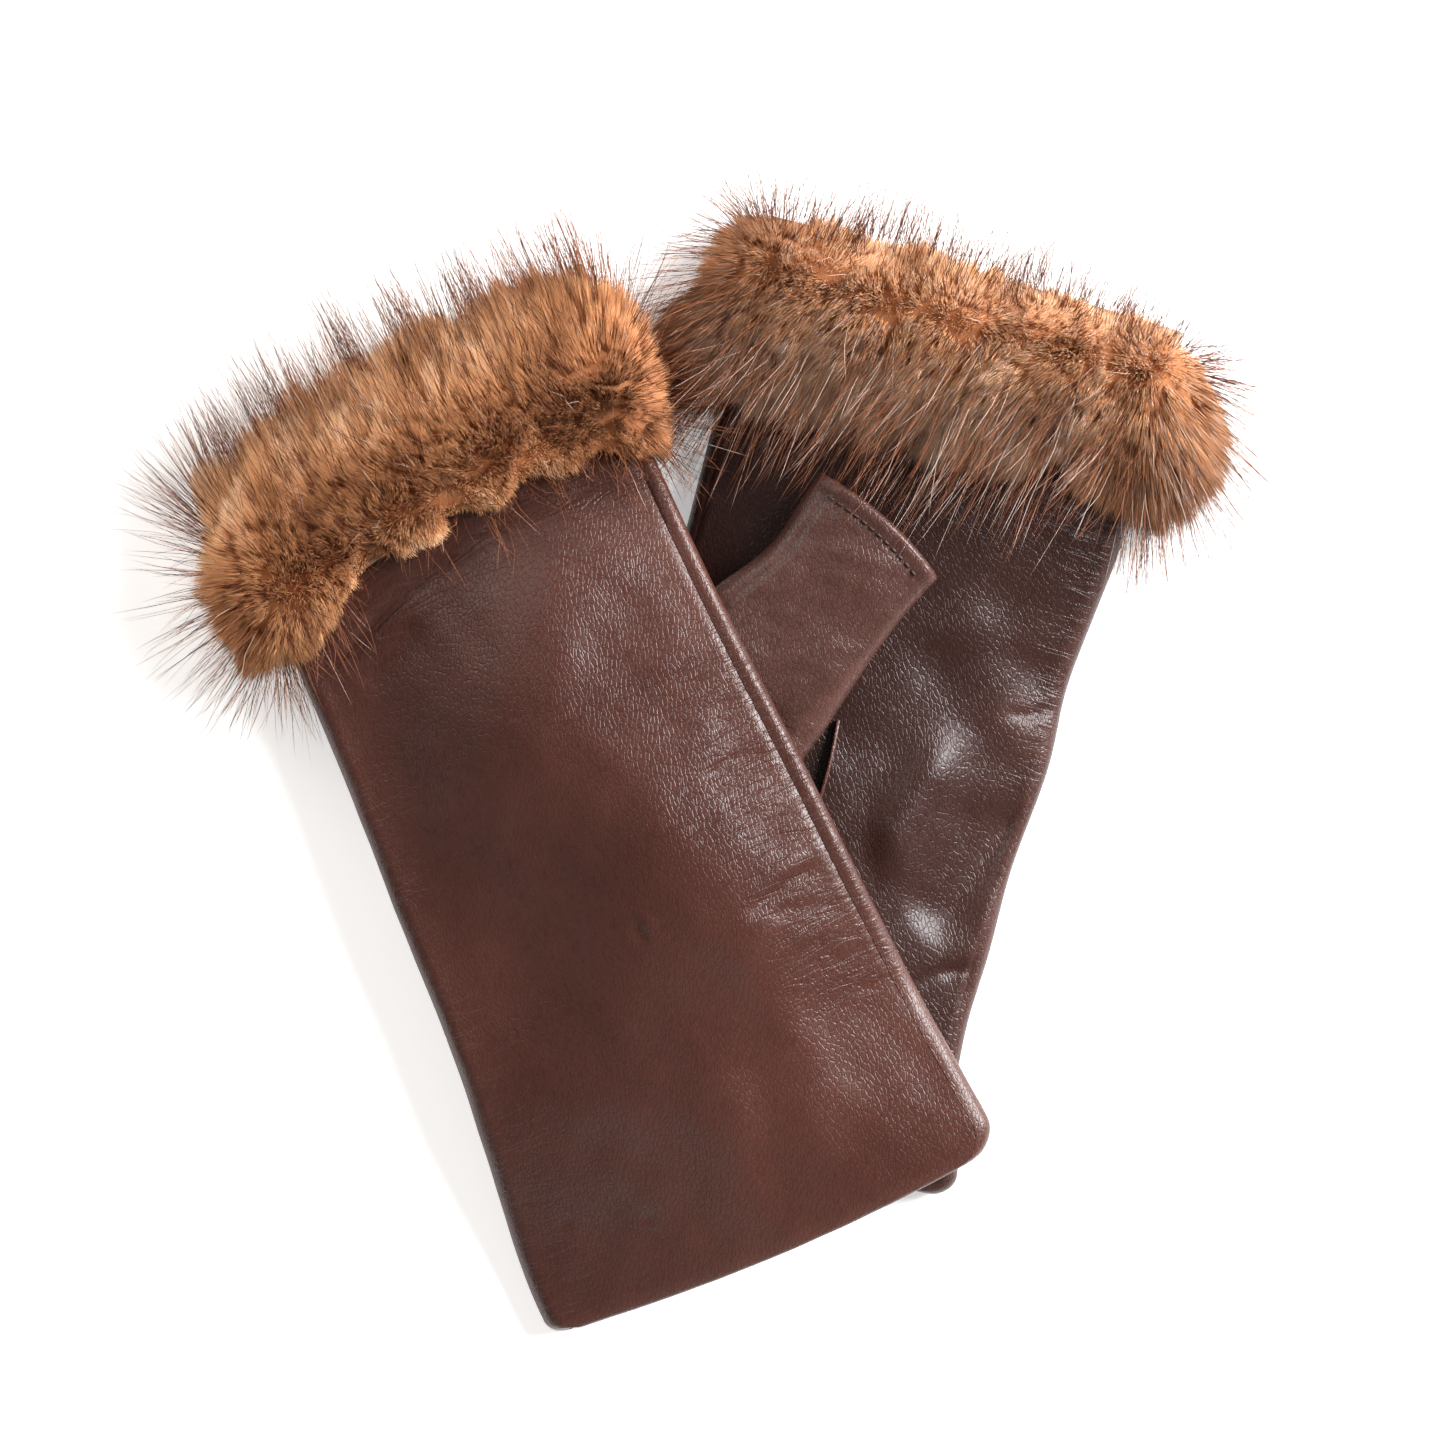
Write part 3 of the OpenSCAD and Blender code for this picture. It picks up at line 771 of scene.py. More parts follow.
def joined(*runs):
    """Runs end to end, each of which starts where the one before it stops."""
    return np.concatenate([runs[0]] + [run[1:] for run in runs[1:]])


STEP = 0.8
# The rounded lip of a turned-in hem, from its edge inwards: place along, outer depth and inner depth
LIP = np.radians((82.0, 60.0, 38.0, 18.0))
LIP_PLACE = LEATHER_T * (1 - np.sin(LIP))
LIP_OUTER = -LEATHER_T + LEATHER_T * np.cos(LIP)
LIP_INNER = -LEATHER_T - LEATHER_T * np.cos(LIP)


def leather_rows():
    """Rows from the rolled lip to the cuff: v, and the depths of the outer and the inner side."""
    r = LEATHER_T
    main = joined(
        mm_steps(r, 16, 0.7 * STEP),
        mm_steps(16, HOLE_V[0], STEP),
        mm_steps(*HOLE_V, STEP),
        mm_steps(HOLE_V[1], LEATHER_LEN, STEP),
    )
    hem = np.where(main < HEM_W, -2 * r, -r - (r * smooth((HEM_W + 1.6 - main) / 1.6)))
    rows = (LIP_PLACE, main), (LIP_OUTER, 0 * main), (LIP_INNER, hem)
    return [np.concatenate(row) for row in rows]


def panel_stations(m, start, stop):
    """Stations t from start to stop, close together round the folds and with the opening's sides."""
    marks = (1, 3, 5, 7, 9, *(h + e for h in HOLE_T[m] for e in (0, 8)))
    stops = sorted({start, stop, *(k for k in marks if start < k < stop)})
    runs = []
    for a, b in zip(stops[:-1], stops[1:]):
        on_flat = int(np.floor((a + b) / 2)) % 8 in (1, 2, 5, 6)
        runs.append(mm_steps(a, b, STEP / (FLAT_MM if on_flat else 10)))
    return joined(*runs)


def wear_highlight_and_wrinkles(m, t, u, v):
    """Where the leather is paler, rubbed at its finger lip and with painted highlights along its lit +u edge
    roll, beside the left seam and on the palm's ridge, and where it is wrinkled.
    """
    t = t % 8
    # Painted highlight along the +u edge roll, the side that faces the key lamp; the finger lip below is
    # rubbed paler
    rolled = np.exp(-(((t - 0.45) / 0.5) ** 2)) * smooth(v / 10)
    lip = np.exp(-((v / 2.2) ** 2))
    worn = 0.6 * rolled + 0.6 * lip
    if m == LEFT:
        # Painted highlight: a pale line just inside the left mitt's seam groove
        painted_seam_highlight = np.exp(-(((t - SEAMS[m][0]) * FOLD_MM - 1.2) ** 2)) * (t < 3) * smooth((v - 22) / 40)
        worn = worn + 0.4 * painted_seam_highlight
        crease = through(u, CREASE)
        wrinkle = smooth((v - crease + 16) / 16) * (0.55 + 0.45 * (v > crease - 3))
        side = smooth((u - 14) / 22) * smooth((118 - v) / 16) * smooth((v - 30) / 14)
        wrinkle = np.maximum(wrinkle, 0.75 * side)
        wrinkle = np.maximum(wrinkle, 0.3 * smooth((-26 - u) / 14))
    else:
        wrinkle = 0.4 * smooth((u - 30) / 10) * smooth((v - 70) / 20) + 0.35 * smooth((v - 120) / 20)
        # Painted highlight along the crest of the palm's upper ridge
        worn = worn + 0.35 * fold(u, v, 1.0, 4, ((29, 100), (36, 95), (42, 88)))
    return clamp(worn), clamp(wrinkle)


def outside_hole(m, mid_t, v):
    """Which cells of a grid are clear of the opening for the thumb."""
    mid_v = (v[:-1] + v[1:]) / 2
    inside_t = (mid_t > HOLE_T[m][0]) & (mid_t < HOLE_T[m][1])
    inside_v = (mid_v > HOLE_V[0]) & (mid_v < HOLE_V[1])
    return ~(inside_v[:, None] & inside_t[None, :])


def leather_panel(m, part, start, stop):
    """The palm, with the opening for the thumb, or the back, from seam to seam."""
    v, outer_d, inner_d = leather_rows()
    t = panel_stations(m, start + HALF_SLIT, stop - HALF_SLIT)
    tt, vv = np.meshgrid(t, v)
    keep = None
    if part == "palm":
        keep = outside_hole(m, (t[:-1] + t[1:]) / 2, v)
        tt, vv = round_hole(m, tt, vv)
    outer, u = skin(m, tt, vv, outer_d[:, None])
    inner, _ = skin(m, tt, vv, inner_d[:, None])
    worn, wrinkle = wear_highlight_and_wrinkles(m, tt, u, vv)
    attributes = looks(u, vv, worn=worn, wrinkle=wrinkle)
    piece = shell(f"{SIDE[m]}_{part}_skin", outer, inner, LEATHER[m], attributes, keep=keep)
    finish(piece, m, "mitt", f"{part}_leather")


def hand_lining(m):
    """The knitted lining, one tube from the finger hem to under the fur."""
    step = 1.6
    ends = (HEM_W + 1.8, *HOLE_V, 170.6)
    v = joined(*(mm_steps(a, b, step) for a, b in zip(ends[:-1], ends[1:])))
    t = panel_stations(m, 0.0, 8.0)[::2]
    t = np.unique(np.concatenate([t[:-1], HOLE_T[m]]))
    tt, vv = np.meshgrid(t, v)
    keep = outside_hole(m, (t + np.append(t[1:], 8.0)) / 2, v)
    tt, vv = round_hole(m, tt, vv)
    d = -LEATHER_T - FIT_GAP
    outer, u = skin(m, tt, vv, d)
    inner, _ = skin(m, tt, vv, d - LINING_T)
    piece = shell(f"{SIDE[m]}_hand_knit", outer, inner, KNIT, looks(u, vv), closed=True, keep=keep)
    finish(piece, m, "mitt", "hand_lining")


# ---- Thumbs ----
def thumb_frame(m, p, d, h):
    """A place in a thumb's own frame: p across, d along from the root, h through its thickness."""
    pitch = radians(THUMB_PITCH[m])
    along = d * cos(pitch) - h * sin(pitch)
    across, forward = turned(-THUMB_TURN[m], p, along)
    x, y = turned(MITT_TURN[m], THUMB_ROOT[m][0] + across, THUMB_ROOT[m][1] + forward)
    z = THUMB_AXIS_Z[m] + d * sin(pitch) + h * cos(pitch)
    return np.stack(np.broadcast_arrays(MITT_POS[m][0] + x, MITT_POS[m][1] + y, z), -1)


def thumb_tube(m, t, f, d):
    """A place on a thumb: t round it, f from its root to its hem, d outside the leather."""
    t = t % 8
    minus, plus = (through(f * THUMB_LEN, widths) for widths in THUMB_WIDTHS[m])
    across, up = section(t, minus - THUMB_R, plus - THUMB_R, THUMB_R, THUMB_R, THUMB_R, d)
    q = np.clip(np.where(across > 0, across / plus, across / minus), -1, 1)
    root_line = 3 * q**4
    hem_line = THUMB_LEN - 2 * q**2
    length = hem_line - root_line
    from_hem = (1 - f) * length
    stitched = np.exp(-(((from_hem - STITCH_ROW) / 0.7) ** 2))
    puffed = np.exp(-(((from_hem - 1.5) / 1.2) ** 2))
    flat = np.abs(q) < 0.86
    pitch = np.cos(across * pi) ** 2
    swell = 0.22 * puffed - 0.42 * stitched * np.where(flat, 0.4 + 0.6 * pitch, 0.6)
    soft = 0.22 * waves(across, f * 50, 16, 31 + m) + 0.07 * waves(across, f * 50, 6, 41 + m)
    crown = 1.5 * np.maximum(0, 1 - q**2) ** 1.1 * smooth(f * 5) if m == RIGHT else 0.0
    upper = (t > 1) & (t < 3)
    grow = 0.9 * (swell + soft * smooth(f * 8)) * (d > -1.4)
    height = up + upper * crown + np.sign(up) * grow
    return thumb_frame(m, across, root_line + length * f, height), across


def thumb_stations():
    """Stations all round a thumb tube, by the length of each fold and of each flat side."""
    step = 0.75
    stops = (0, 1, 3, 5, 7, 8)
    runs = []
    for a, b in zip(stops[:-1], stops[1:]):
        length = THUMB_HALF_W - THUMB_R if a in (1, 5) else THUMB_FOLD_MM
        runs.append(mm_steps(a, b, step / length))
    return joined(*runs)[:-1]


def thumb_skin(m):
    """The leather tube of a thumb, with its hem turned in."""
    main = mm_steps(0.0, 1 - LEATHER_T / THUMB_MM, 0.8 / THUMB_MM)
    hem = -LEATHER_T - LEATHER_T * smooth((main - 0.885) / 0.02)
    f = np.concatenate([main, 1 - LIP_PLACE[::-1] / THUMB_MM])
    outer_d = np.concatenate([0 * main, LIP_OUTER[::-1]])
    inner_d = np.concatenate([hem, LIP_INNER[::-1]])
    tt, ff = np.meshgrid(thumb_stations(), f)
    outer, p = thumb_tube(m, tt, ff, outer_d[:, None])
    inner, _ = thumb_tube(m, tt, ff, inner_d[:, None])
    # Rubbed paler at the thumb's folded sides and hem lip, and lightened all over by an even painted
    # highlight
    worn = 0.55 * smooth((np.abs(p) / 16 - 0.82) / 0.2) + 0.7 * smooth((ff - 0.975) / 0.02) + THUMB_PAINTED_HIGHLIGHT[m]
    attributes = looks(p, ff * THUMB_MM, worn=clamp(worn), wrinkle=0.25 * smooth((0.3 - ff) / 0.3))
    piece = shell(f"{SIDE[m]}_thumb_skin", outer, inner, LEATHER[m], attributes, closed=True)
    finish(piece, m, "thumb", "thumb_leather")


def thumb_knit(m):
    """The knitted lining of a thumb."""
    f = mm_steps(0.01, 0.875, 0.03)
    tt, ff = np.meshgrid(thumb_stations()[::2], f)
    d = -LEATHER_T - FIT_GAP
    outer, p = thumb_tube(m, tt, ff, d)
    inner, _ = thumb_tube(m, tt, ff, d - LINING_T)
    piece = shell(f"{SIDE[m]}_thumb_knit", outer, inner, KNIT, looks(p, ff * THUMB_MM), closed=True)
    finish(piece, m, "thumb", "thumb_lining")


def hem_stitches(m):
    """Running stitches along the thumb's hem on both faces: each dives into the leather at its ends."""
    half_stitch, pitch, count = 0.6, 2.0, 12
    x = np.linspace(-half_stitch, half_stitch, 9)
    lift = 0.42 - 0.75 * np.abs(x / half_stitch) ** 3.5
    paths = []
    for upper in (True, False):
        for i in range(count):
            across = pitch * (i - (count - 1) / 2) + x
            q = across / THUMB_HALF_W
            length = THUMB_LEN - 2 * q**2 - 3 * q**4
            f = 1 - STITCH_ROW / length
            c_minus, c_plus = (float(through(f.mean() * THUMB_LEN, w)) - THUMB_R for w in THUMB_WIDTHS[m])
            run = c_plus - across if upper else across + c_minus
            t = (1 if upper else 5) + 2 * run / (c_plus + c_minus)
            path = thumb_tube(m, t, f, lift)[0]
            path[:, 2] = np.maximum(path[:, 2], STITCH_LOW)
            paths.append(path)
    piece = thread_mesh(f"{SIDE[m]}_thumb_stitches", paths, 0.26, 0.14, sides=8)
    finish(piece, m, "thumb", "thumb_hem_thread")


def hole_ring(m, phi, size, d):
    """Places round the opening in the palm. phi 0 is towards +u and a quarter turn is towards the cuff."""
    (mid_t, half_t), (mid_v, half_v) = opening(m)
    turn = -1 if m == RIGHT else 1
    return skin(m, mid_t + turn * size * np.cos(phi) * half_t, mid_v + size * np.sin(phi) * half_v, d)[0]


def thumb_sleeve(m):
    """The leather that joins the opening in the palm to the thumb's root, in one fixed shape."""
    count = 56
    rows = 22
    phi = 2 * pi * (np.arange(count) + 0.5) / count
    t = (-phi if m == RIGHT else phi) * 4 / pi % 8
    up = 1.0 if m == RIGHT else -1.0
    rim = hole_ring(m, phi, 0.93, -0.5)
    ring, p = thumb_tube(m, t, 0 * t, 0.0)
    if m == LEFT:
        # The lower half is drawn in to just above the thumb's axis, so it starts inside the tube
        below = ring[:, 2] - THUMB_AXIS_Z[m]
        ring[:, 2] = THUMB_AXIS_Z[m] + np.where(below < 0, -0.15 * below, below)
    axis = thumb_frame(m, 0.0, 1.0, 0.0) - thumb_frame(m, 0.0, 0.0, 0.0)
    ring = ring - axis * (0.06 + SLEEVE_BACK[m] * np.abs(p / 16.5)[:, None] ** 4)
    reach = np.linalg.norm(ring - rim, axis=1, keepdims=True)
    first = rim + np.array([0, 0, up]) * reach * 0.5
    last = ring - axis * reach * SLEEVE_RUN[m]
    w = np.linspace(0, 1, rows)[:, None, None]
    grid = (1 - w) ** 3 * rim + 3 * (1 - w) ** 2 * w * first + 3 * (1 - w) * w**2 * last + w**3 * ring
    normal = unit(np.cross(np.roll(grid, -1, 1) - np.roll(grid, 1, 1), np.gradient(grid, axis=0)))
    normal = normal * np.sign(np.sum(normal * (grid - grid.mean(axis=1, keepdims=True))))
    w = w[..., 0]
    ruck = np.sin(np.pi * w) * SLEEVE_RUCK[m] * np.cos(5 * phi[None] + 6 * w)
    outer = grid + normal * ruck[..., None]
    inner = outer - normal * LEATHER_T
    outer[..., 2] = np.maximum(outer[..., 2], HAIR_LOW)
    inner[..., 2] = np.maximum(inner[..., 2], HAIR_LOW + 0.3)
    even = np.ones((rows, count))
    attributes = looks(phi * 6 * even, w * 14 * even, worn=0.25 * even, wrinkle=0.4 * even)
    piece = shell(f"{SIDE[m]}_thumb_sleeve", outer, inner, LEATHER[m], attributes, closed=True)
    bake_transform(piece)


def quirk(m):
    """The narrow folded gusset edge that stands beside the thumb's base."""
    length, height, bow = 18.0, 2.9, 0.4
    top = 1 if m == RIGHT else -1
    along = np.linspace(0, length, 26)
    profile = np.radians(np.linspace(0, 180, 9))
    half = LEATHER_T / 2
    out = np.concatenate([[half], half * np.cos(profile), [-half]])
    rise = np.concatenate([[0], height - half + half * np.sin(profile), [0]])
    taper = 1 - 0.45 * np.abs(along / length * 2 - 1) ** 3
    side = bow * np.sin(np.pi * along / length) + half
    k, a = np.meshgrid(np.arange(len(out)), np.arange(len(along)))
    across, forward = turned(3.0, side[a] + out[k], along[a])
    start_u, start_v = 0.4, 67.5
    u, v = start_u + across, start_v + forward
    minus, plus = edges(m, v)
    c_minus, c_plus = minus - FOLD_R[m][0], plus - FOLD_R[m][1]
    t = (1 if m == RIGHT else 5) + 2 * (c_plus - u if m == RIGHT else u + c_minus) / (c_plus + c_minus)
    base = skin(m, t, v)[0]
    lift = top * (0.3 + rise[k] * taper[a])
    outer = base + lift[..., None] * (0, 0, 1)
    points = outer.reshape(-1, 3)
    quads = ring_quads(len(along), len(out))
    first = np.arange(len(out))[None]
    ends = [first[:, ::-1], first + len(points) - len(out)]
    up = rise[k].ravel()
    attributes = looks(up, along[a].ravel(), worn=clamp(up - 1.6), wrinkle=0 * up)
    faces = outward(points, [quads, *ends])
    piece = mesh_object(f"{SIDE[m]}_quirk_skin", points, faces, [LEATHER[m]], attributes)
    finish(piece, m, "mitt", "thumb_quirk")


# ---- Sewing threads of the hand ----
def hand_threads(m):
    """The threads of the two long seams, the hem, the cuff seam and the seam round the thumb's opening."""
    v = mm_steps(2.5, 149, 0.9)
    t = panel_stations(m, 0.0, 8.0)[:-1]
    phi = np.linspace(0, 2 * pi, 72, endpoint=False)
    outer, inner = SEAMS[m] if m == LEFT else SEAMS[m][::-1]
    dips = -0.38 + 0.16 * np.cos(v * pi / 1.5)
    hem_d = -LEATHER_T - FIT_GAP - LINING_T / 2
    threads = (
        ("outer_seam", skin(m, outer, v, dips)[0], 0.2, False),
        ("inner_seam", skin(m, inner, v, dips)[0], 0.2, False),
        ("cuff_seam", skin(m, t, LEATHER_LEN + SEAM_GAP / 2, -0.4)[0], 0.2, True),
        ("finger_hem", skin(m, t, HEM_W + 1.1, hem_d)[0], 0.2, True),
        ("thumb_root", hole_ring(m, phi, 0.985, -0.3), 0.22, True),
    )
    for name, path, radius, closed in threads:
        piece = thread_mesh(f"{SIDE[m]}_{name}_stitching", [path], radius, 0.12, closed)
        finish(piece, m, "mitt", f"{name}_thread")


# ---- Fur cuffs ----
def pelt(m):
    """The skin that the fur grows from, on past the leather's cuff edge."""
    v = mm_steps(LEATHER_LEN + SEAM_GAP, 179, 1.5)
    t = panel_stations(m, 0.0, 8.0)[:-1:2]
    tt, vv = np.meshgrid(t, v)
    nap = 0.08 * waves(tt * 30, vv, 3, 51 + m)
    outer, inner = skin(m, tt, vv, 0.1)[0], skin(m, tt, vv, -LEATHER_T + nap)[0]
    piece = shell(f"{SIDE[m]}_pelt_skin", outer, inner, SUEDE, {}, closed=True)
    finish(piece, m, "mitt", "fur_pelt")


def pile(m, t, a, depth):
    """A place in the fur: a is the angle over the band, 0 at its upper edge, and depth 1 at the tips."""
    facing = np.cos(pi / 4 * t)
    side = np.where(facing > 0, *PILE_SIDE[m])
    reach = PILE_H + (side - PILE_H) * facing**2
    flat_u = tube(m, t, PILE_V, reach * 0.6 * np.sin(a))[1]
    low, high = through(flat_u, FUR_LOWER[m]) - 2.5, through(flat_u, FUR_UPPER[m]) + 1.0
    mid, half = (low + high) / 2, (high - low) / 2
    spread = depth**0.8
    v = ROOT_V[m] + (mid - ROOT_V[m]) * spread + (ROOT_HALF + (half - ROOT_HALF) * spread) * np.cos(a)
    d = 0.25 + reach * np.maximum(np.sin(a), 0) ** 0.8 * depth
    point = tube(m, t, v, d)[0]
    point[..., 2] = np.maximum(point[..., 2], PILE_LOW)
    return point


def across_pile(m, t):
    """How far across the cuff a hair is."""
    return tube(m, t, PILE_V, 3.0)[1]


def fur_core(m):
    """The dense underfur, a plain closed ring that the hairs stand out of."""
    t = np.linspace(0, 8, 97)[:-1]
    a = np.concatenate([np.linspace(0.12, pi - 0.12, 17), np.linspace(pi + 0.5, 2 * pi - 0.5, 5)])
    tt, aa = np.meshgrid(t, a, indexing="ij")
    points = pile(m, tt, aa, np.where(aa < pi, 0.6, 0.3)).reshape(-1, 3)
    quads = ring_quads(*tt.shape, closed=True)
    piece = mesh_object(f"{SIDE[m]}_fur_core", points, outward(points, [quads]), [FUR_CORE], sharp=0)
    finish(piece, m, "mitt", "fur_pile")


def strands(name, m, path, radius, materials, slots):
    """Thin three-sided hairs. path is (hairs, rings, 3) and ends in a point; slots are for its gaps."""
    hairs, rings = path.shape[:2]
    along = np.gradient(path, axis=1)
    along /= np.linalg.norm(along, axis=-1, keepdims=True) + 1e-9
    rng = np.random.default_rng(len(name) + hairs)
    spin = rng.normal(size=(hairs, 1, 3))
    side = np.cross(along, spin)
    side /= np.linalg.norm(side, axis=-1, keepdims=True) + 1e-9
    up = np.cross(along, side)
    radius, body, side, up = radius[..., None], path[:, :-1], side[:, :-1], up[:, :-1]
    turns = (0, 2 * pi / 3, 4 * pi / 3)
    ring = np.stack([body + radius * (side * cos(q) + up * sin(q)) for q in turns], 2)
    points = np.concatenate([ring.reshape(hairs, (rings - 1) * 3, 3), path[:, -1:]], 1)
    size = points.shape[1]
    base = (np.arange(hairs) * size)[:, None]
    quads = [base + quad for quad in ring_quads(rings - 1, 3)]
    quad_slots = [slots[:, k // 3] for k in range(len(quads))]
    last = (rings - 2) * 3
    corners = ((2, 1, 0), *((last + k, last + (k + 1) % 3, size - 1) for k in range(3)))
    tris = [base + np.array(corner) for corner in corners]
    points = points.reshape(-1, 3)
    points[:, 2] = np.maximum(points[:, 2], HAIR_SIDE_LOW)
    faces = [np.concatenate(group) for group in (quads, tris) if group]
    order = np.concatenate(quad_slots + [slots[:, 0]] + 3 * [slots[:, -1]])
    piece = mesh_object(name, points, outward(points, faces), materials, slots=order, sharp=0)
    finish(piece, m, "mitt", "fur_pile")


def fur_tone(m, u, a, noise):
    """How light the fur is, 0 to 1, and how grey."""
    upper = smooth((1.75 - a) / 0.9)
    lower = smooth((a - 2.15) / 0.6)
    if m == LEFT:
        tone = 0.42 + 0.32 * upper + 0.2 * lower
        tone = tone - 0.28 * smooth((u - 16) / 25) + 0.06 * smooth((-30 - u) / 15)
        grey = 0.02
    else:
        middle = np.exp(-(((a - 1.6) / 0.45) ** 2))
        tone = 0.49 + 0.13 * upper + 0.09 * middle
        tone = tone - 0.3 * smooth((u - 34) / 14) - 0.27 * smooth((-28 - u) / 14)
        grey = 0.5 * smooth((a - 1.3) / 0.8) * smooth((38 - u) / 10) + 0.28
    return tone + 0.07 * noise, grey


def sample_ring(rng, count, under):
    """Stations round the tube, with fewer hairs underneath. Each flat side is as long as 12 edge units."""
    flat, edge = 1.0, 0.16
    weights = np.array([edge, flat, edge, edge, flat * under, edge])
    starts, lengths = np.array([0, 1, 3, 4, 5, 7]), np.array([1, 2, 1, 1, 2, 1])
    part = rng.choice(6, size=count, p=weights / weights.sum())
    return starts[part] + lengths[part] * rng.random(count)


def cuff_flow(m, u, a):
    """How the tips lean, in mm across and along the mitt, beyond standing straight out."""
    middle = np.exp(-(((a - 1.45) / 0.6) ** 2))
    if m == RIGHT:
        low = smooth((a - 0.8) / 1.0)
        return -3.4 * low * smooth((44 - u) / 10), -1.6 * low - 2.2 * middle
    return 0.6 * np.sin(u / 9) - 1.0 * middle, -2.4 * middle


def blown(rng, m, u, a, gain, heights, size, seed, scatter):
    """How far the tips lean along x and y: the cuff's flow, slow waves and scatter."""
    winds = []
    for k, lean in enumerate(cuff_flow(m, u, a)):
        slow = heights[k] * waves(u, a * 12, size, seed + 10 * k + m)
        winds.append(gain * lean + slow + rng.normal(0, scatter, len(u)))
    return turned(MITT_TURN[m], *winds)


def fur(m):
    """The short hairs, gathered in clumps. Three in ten are bent and the rest are straight."""
    rng = np.random.default_rng(101 + m)
    hairs = 98000
    t = sample_ring(rng, hairs, 0.35)
    a = pi * rng.random(hairs)
    clumps = 1300
    ct, ca = sample_ring(rng, clumps, 0.35), pi * rng.random(clumps)
    tips, clump_tips = pile(m, t, a, 1.0), pile(m, ct, ca, 1.0)
    tree = KDTree(clumps)
    for k, point in enumerate(clump_tips):
        tree.insert(Vector(point), k)
    tree.balance()
    nearest = np.array([tree.find(Vector(point))[1:] for point in tips])
    index, far = nearest[:, 0].astype(int), nearest[:, 1]
    u = across_pile(m, t)
    roots = pile(m, t, a, 0.0)
    wind = blown(rng, m, u, a, 1.0, (1.3, 1.1), 15, 61, 0.45)
    clump_wind = rng.normal(0, 0.5, (clumps, 3)) * (1, 1, 0.5)
    offset = np.stack([*wind, rng.normal(0, 0.3, hairs)], 1)
    length = 1.0 - 0.2 * rng.random(hairs) ** 2 + 0.05 * waves(u, a * 12, 9, 81 + m)
    length = length + rng.normal(0, 0.05, clumps)[index] - 0.15 * smooth((far - 1.8) / 2.2)
    tips = roots + (tips - roots) * length[:, None]
    pull = (0.16 + 0.16 * rng.random(hairs))[:, None]
    tips = tips + pull * (clump_tips[index] - tips) * np.minimum(1, 3.2 / np.maximum(far, 0.01))[:, None]
    tips = tips + offset + clump_wind[index]
    tips[:, 2] = np.maximum(tips[:, 2], HAIR_LOW)
    start = roots + (tips - roots) * 0.48
    bend = rng.normal(0, 0.35, (hairs, 3)) + 0.3 * clump_wind[index]
    middle = roots + (tips - roots) * 0.78 + bend * 0.5
    path = np.stack([start, middle, tips], 1)
    path[..., 2] = np.maximum(path[..., 2], HAIR_LOW)
    radius = np.stack([0.095 + 0.02 * rng.random(hairs), 0.08 + 0.02 * rng.random(hairs)], 1)
    noise = waves(u, a * 12, 12, 91 + m) + rng.normal(0, 0.7, hairs) + rng.normal(0, 0.4, clumps)[index]
    tone, grey = fur_tone(m, u, a, noise)
    level = np.clip(tone * 7.2, 0, BROWNS).astype(int)
    is_grey = rng.random(hairs) < grey
    tip_slot = np.where(is_grey, np.where(tone > 0.5, GREYS[1], GREYS[0]), level)
    low_slot = np.clip(level - (rng.random(hairs) < 0.6), 0, BROWNS)
    slots = np.stack([low_slot, tip_slot], 1)
    curved = np.arange(hairs) < hairs * 0.3
    for k, chosen in enumerate(np.array_split(np.flatnonzero(curved), 2)):
        name = f"{SIDE[m]}_curved_fur_{k + 1}"
        strands(name, m, path[chosen], radius[chosen], FUR_TONES, slots[chosen])
    for k, chosen in enumerate(np.array_split(np.flatnonzero(~curved), 2)):
        name = f"{SIDE[m]}_straight_fur_{k + 1}"
        strands(name, m, path[chosen][:, [0, 2]], radius[chosen][:, :1], FUR_TONES, slots[chosen][:, 1:])


def guard_hairs(m):
    """The long, sparse, darker hairs that stand out of the fur."""
    rng = np.random.default_rng(201 + m)
    hairs = 4600
    t = sample_ring(rng, hairs, 0.3)
    a = rng.uniform(0.03, pi - 0.03, hairs)
    a = np.where(rng.random(hairs) < 0.12, rng.uniform(0.03, 0.7, hairs), a)
    u = across_pile(m, t)
    roots, tips = pile(m, t, a, 0.0), pile(m, t, a, 1.0)
    wind = blown(rng, m, u, a, 1.5, (1.6, 1.4), 12, 211, 1.9)
    out = tips - roots
    size = np.linalg.norm(out, axis=1, keepdims=True)
    extra = rng.uniform(4.0, 19.0, (hairs, 1)) * (0.65 + 0.35 * np.minimum(1, size / 12))
    reach = out * (1 + extra / np.maximum(size, 4))
    offset = np.stack([*wind, rng.normal(0, 1.0, hairs)], 1)
    top = np.clip(roots + reach + offset, *TIP_BOX)
    steps = np.array([0.35, 0.64, 0.85, 1.0])
    straight = roots[:, None] + (top - roots)[:, None] * steps[None, :, None]
    curl = rng.normal(0, 1.1, (hairs, 1, 3)) + offset[:, None] * 0.25
    path = straight - curl * np.sin(pi * steps)[None, :, None]
    path[..., 2] = np.maximum(path[..., 2], HAIR_LOW)
    radius = np.array([0.065, 0.058, 0.042])[None] * rng.uniform(0.75, 1.15, (hairs, 1))
    pale = rng.random(hairs) < (0.04 + 0.12 * smooth((a - 1.4) / 0.8) if m == RIGHT else 0.03)
    kind = np.where(pale, 2, (rng.random(hairs) < 0.6).astype(int))
    strands(f"{SIDE[m]}_guard_hairs", m, path, radius, GUARD, np.repeat(kind[:, None], 3, 1))


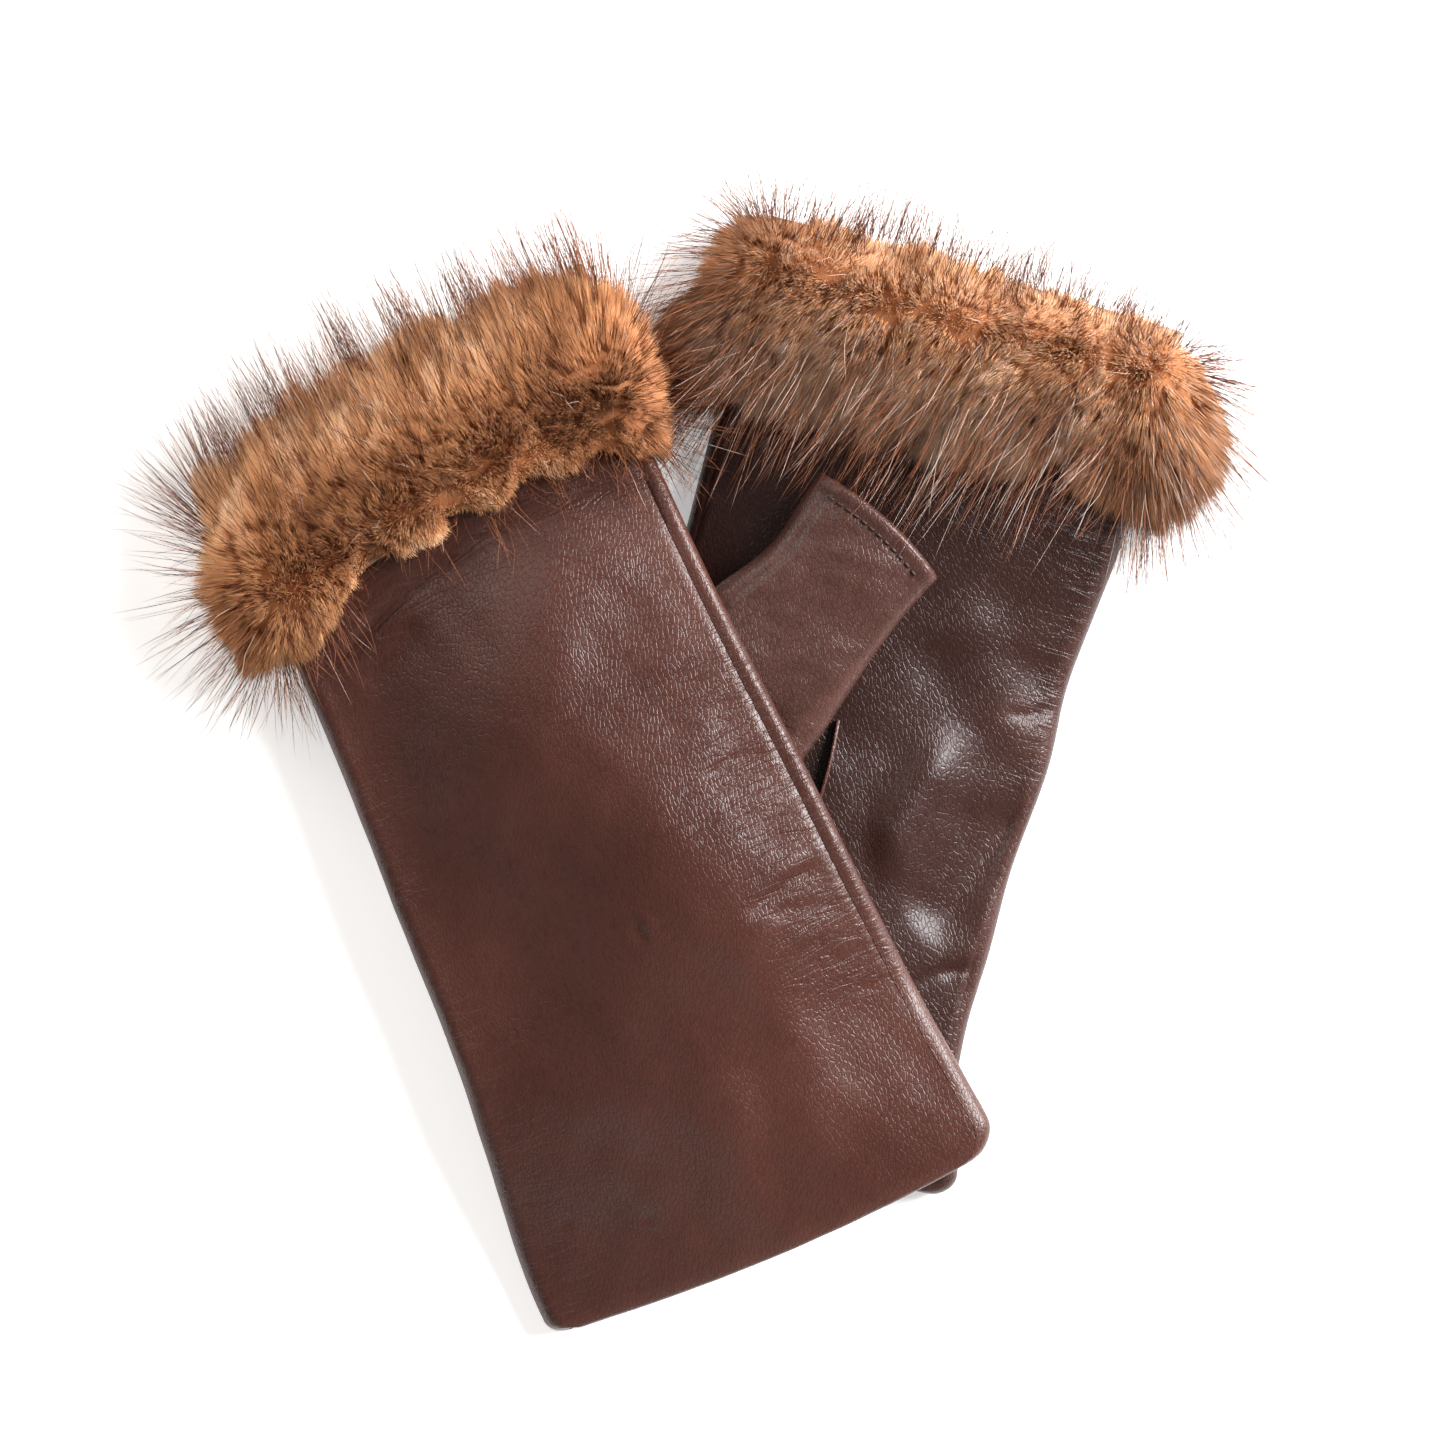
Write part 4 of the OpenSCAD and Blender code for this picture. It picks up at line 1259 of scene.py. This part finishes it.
# ---- The pair ----
MITT_PARTS = (
    hand_lining, thumb_skin, thumb_knit, hem_stitches, thumb_sleeve, quirk, hand_threads, pelt, fur_core,
    fur, guard_hairs,
)
for m in (RIGHT, LEFT):
    first, second = SEAMS[m]
    if m == RIGHT:
        leather_panel(m, "palm", second - 8, first)
    leather_panel(m, "back", first, second)
    if m == LEFT:
        leather_panel(m, "palm", second, first + 8)
    for build in MITT_PARTS:
        build(m)

# ---- Table, light and camera ----
TABLE_HALF = 3.0
floor_mesh = bpy.data.meshes.new("table_top")
corners = [(x * TABLE_HALF, y * TABLE_HALF, 0) for x, y in ((-1, -1), (1, -1), (1, 1), (-1, 1))]
floor_mesh.from_pydata(corners, [], [(0, 1, 2, 3)])
table = bpy.data.objects.new("table_top", floor_mesh)
bpy.context.scene.collection.objects.link(table)
paper, paper_nodes = new_material("table_paper")
paper_nodes.shade(color=(0.92, 0.92, 0.92), roughness=0.9, specular=0.1, glow=(1, 1, 1), glow_strength=0.42)
floor_mesh.materials.append(paper)
table.location.z = -0.0003

world = bpy.data.worlds.new("studio")
world.use_nodes = True
sky = Nodes(world.node_tree)
background = world.node_tree.nodes["Background"]
sky.put(background.inputs["Color"], (1.0, 0.985, 0.97))
height = sky.split(sky.place("Generated"))[2]
sky.put(background.inputs["Strength"], sky.between(height, -0.01, 0.16, 0.95, 0.22))
bpy.context.scene.world = world


def soft_light(name, place, size, power, color):
    """A round lamp that points at the middle of the mitts."""
    light = bpy.data.lights.new(name, "AREA")
    light.shape = "DISK"
    light.size = size
    light.energy = power
    light.color = color
    lamp = bpy.data.objects.new(name, light)
    lamp.location = place
    lamp.rotation_euler = (-Vector(place)).to_track_quat("-Z", "Y").to_euler()
    bpy.context.scene.collection.objects.link(lamp)


soft_light("key", (0.85, 0.42, 0.66), 0.75, 46.0, (0.98, 0.985, 1.0))
soft_light("fill", (-0.8, 0.7, 0.7), 1.0, 9.0, (1.0, 0.94, 0.88))
soft_light("low_fill", (-0.2, -1.1, 0.6), 0.9, 3.0, (1.0, 0.95, 0.9))

camera = bpy.data.cameras.new("camera")
camera.sensor_width = 36
camera.lens = 148
camera.clip_end = 20
eye = bpy.data.objects.new("camera", camera)
eye.location = (0.0035, 0.0094, 1.2)
bpy.context.scene.collection.objects.link(eye)
bpy.context.scene.camera = eye
bpy.context.scene.view_settings.view_transform = "Standard"
bpy.context.scene.view_settings.look = "None"
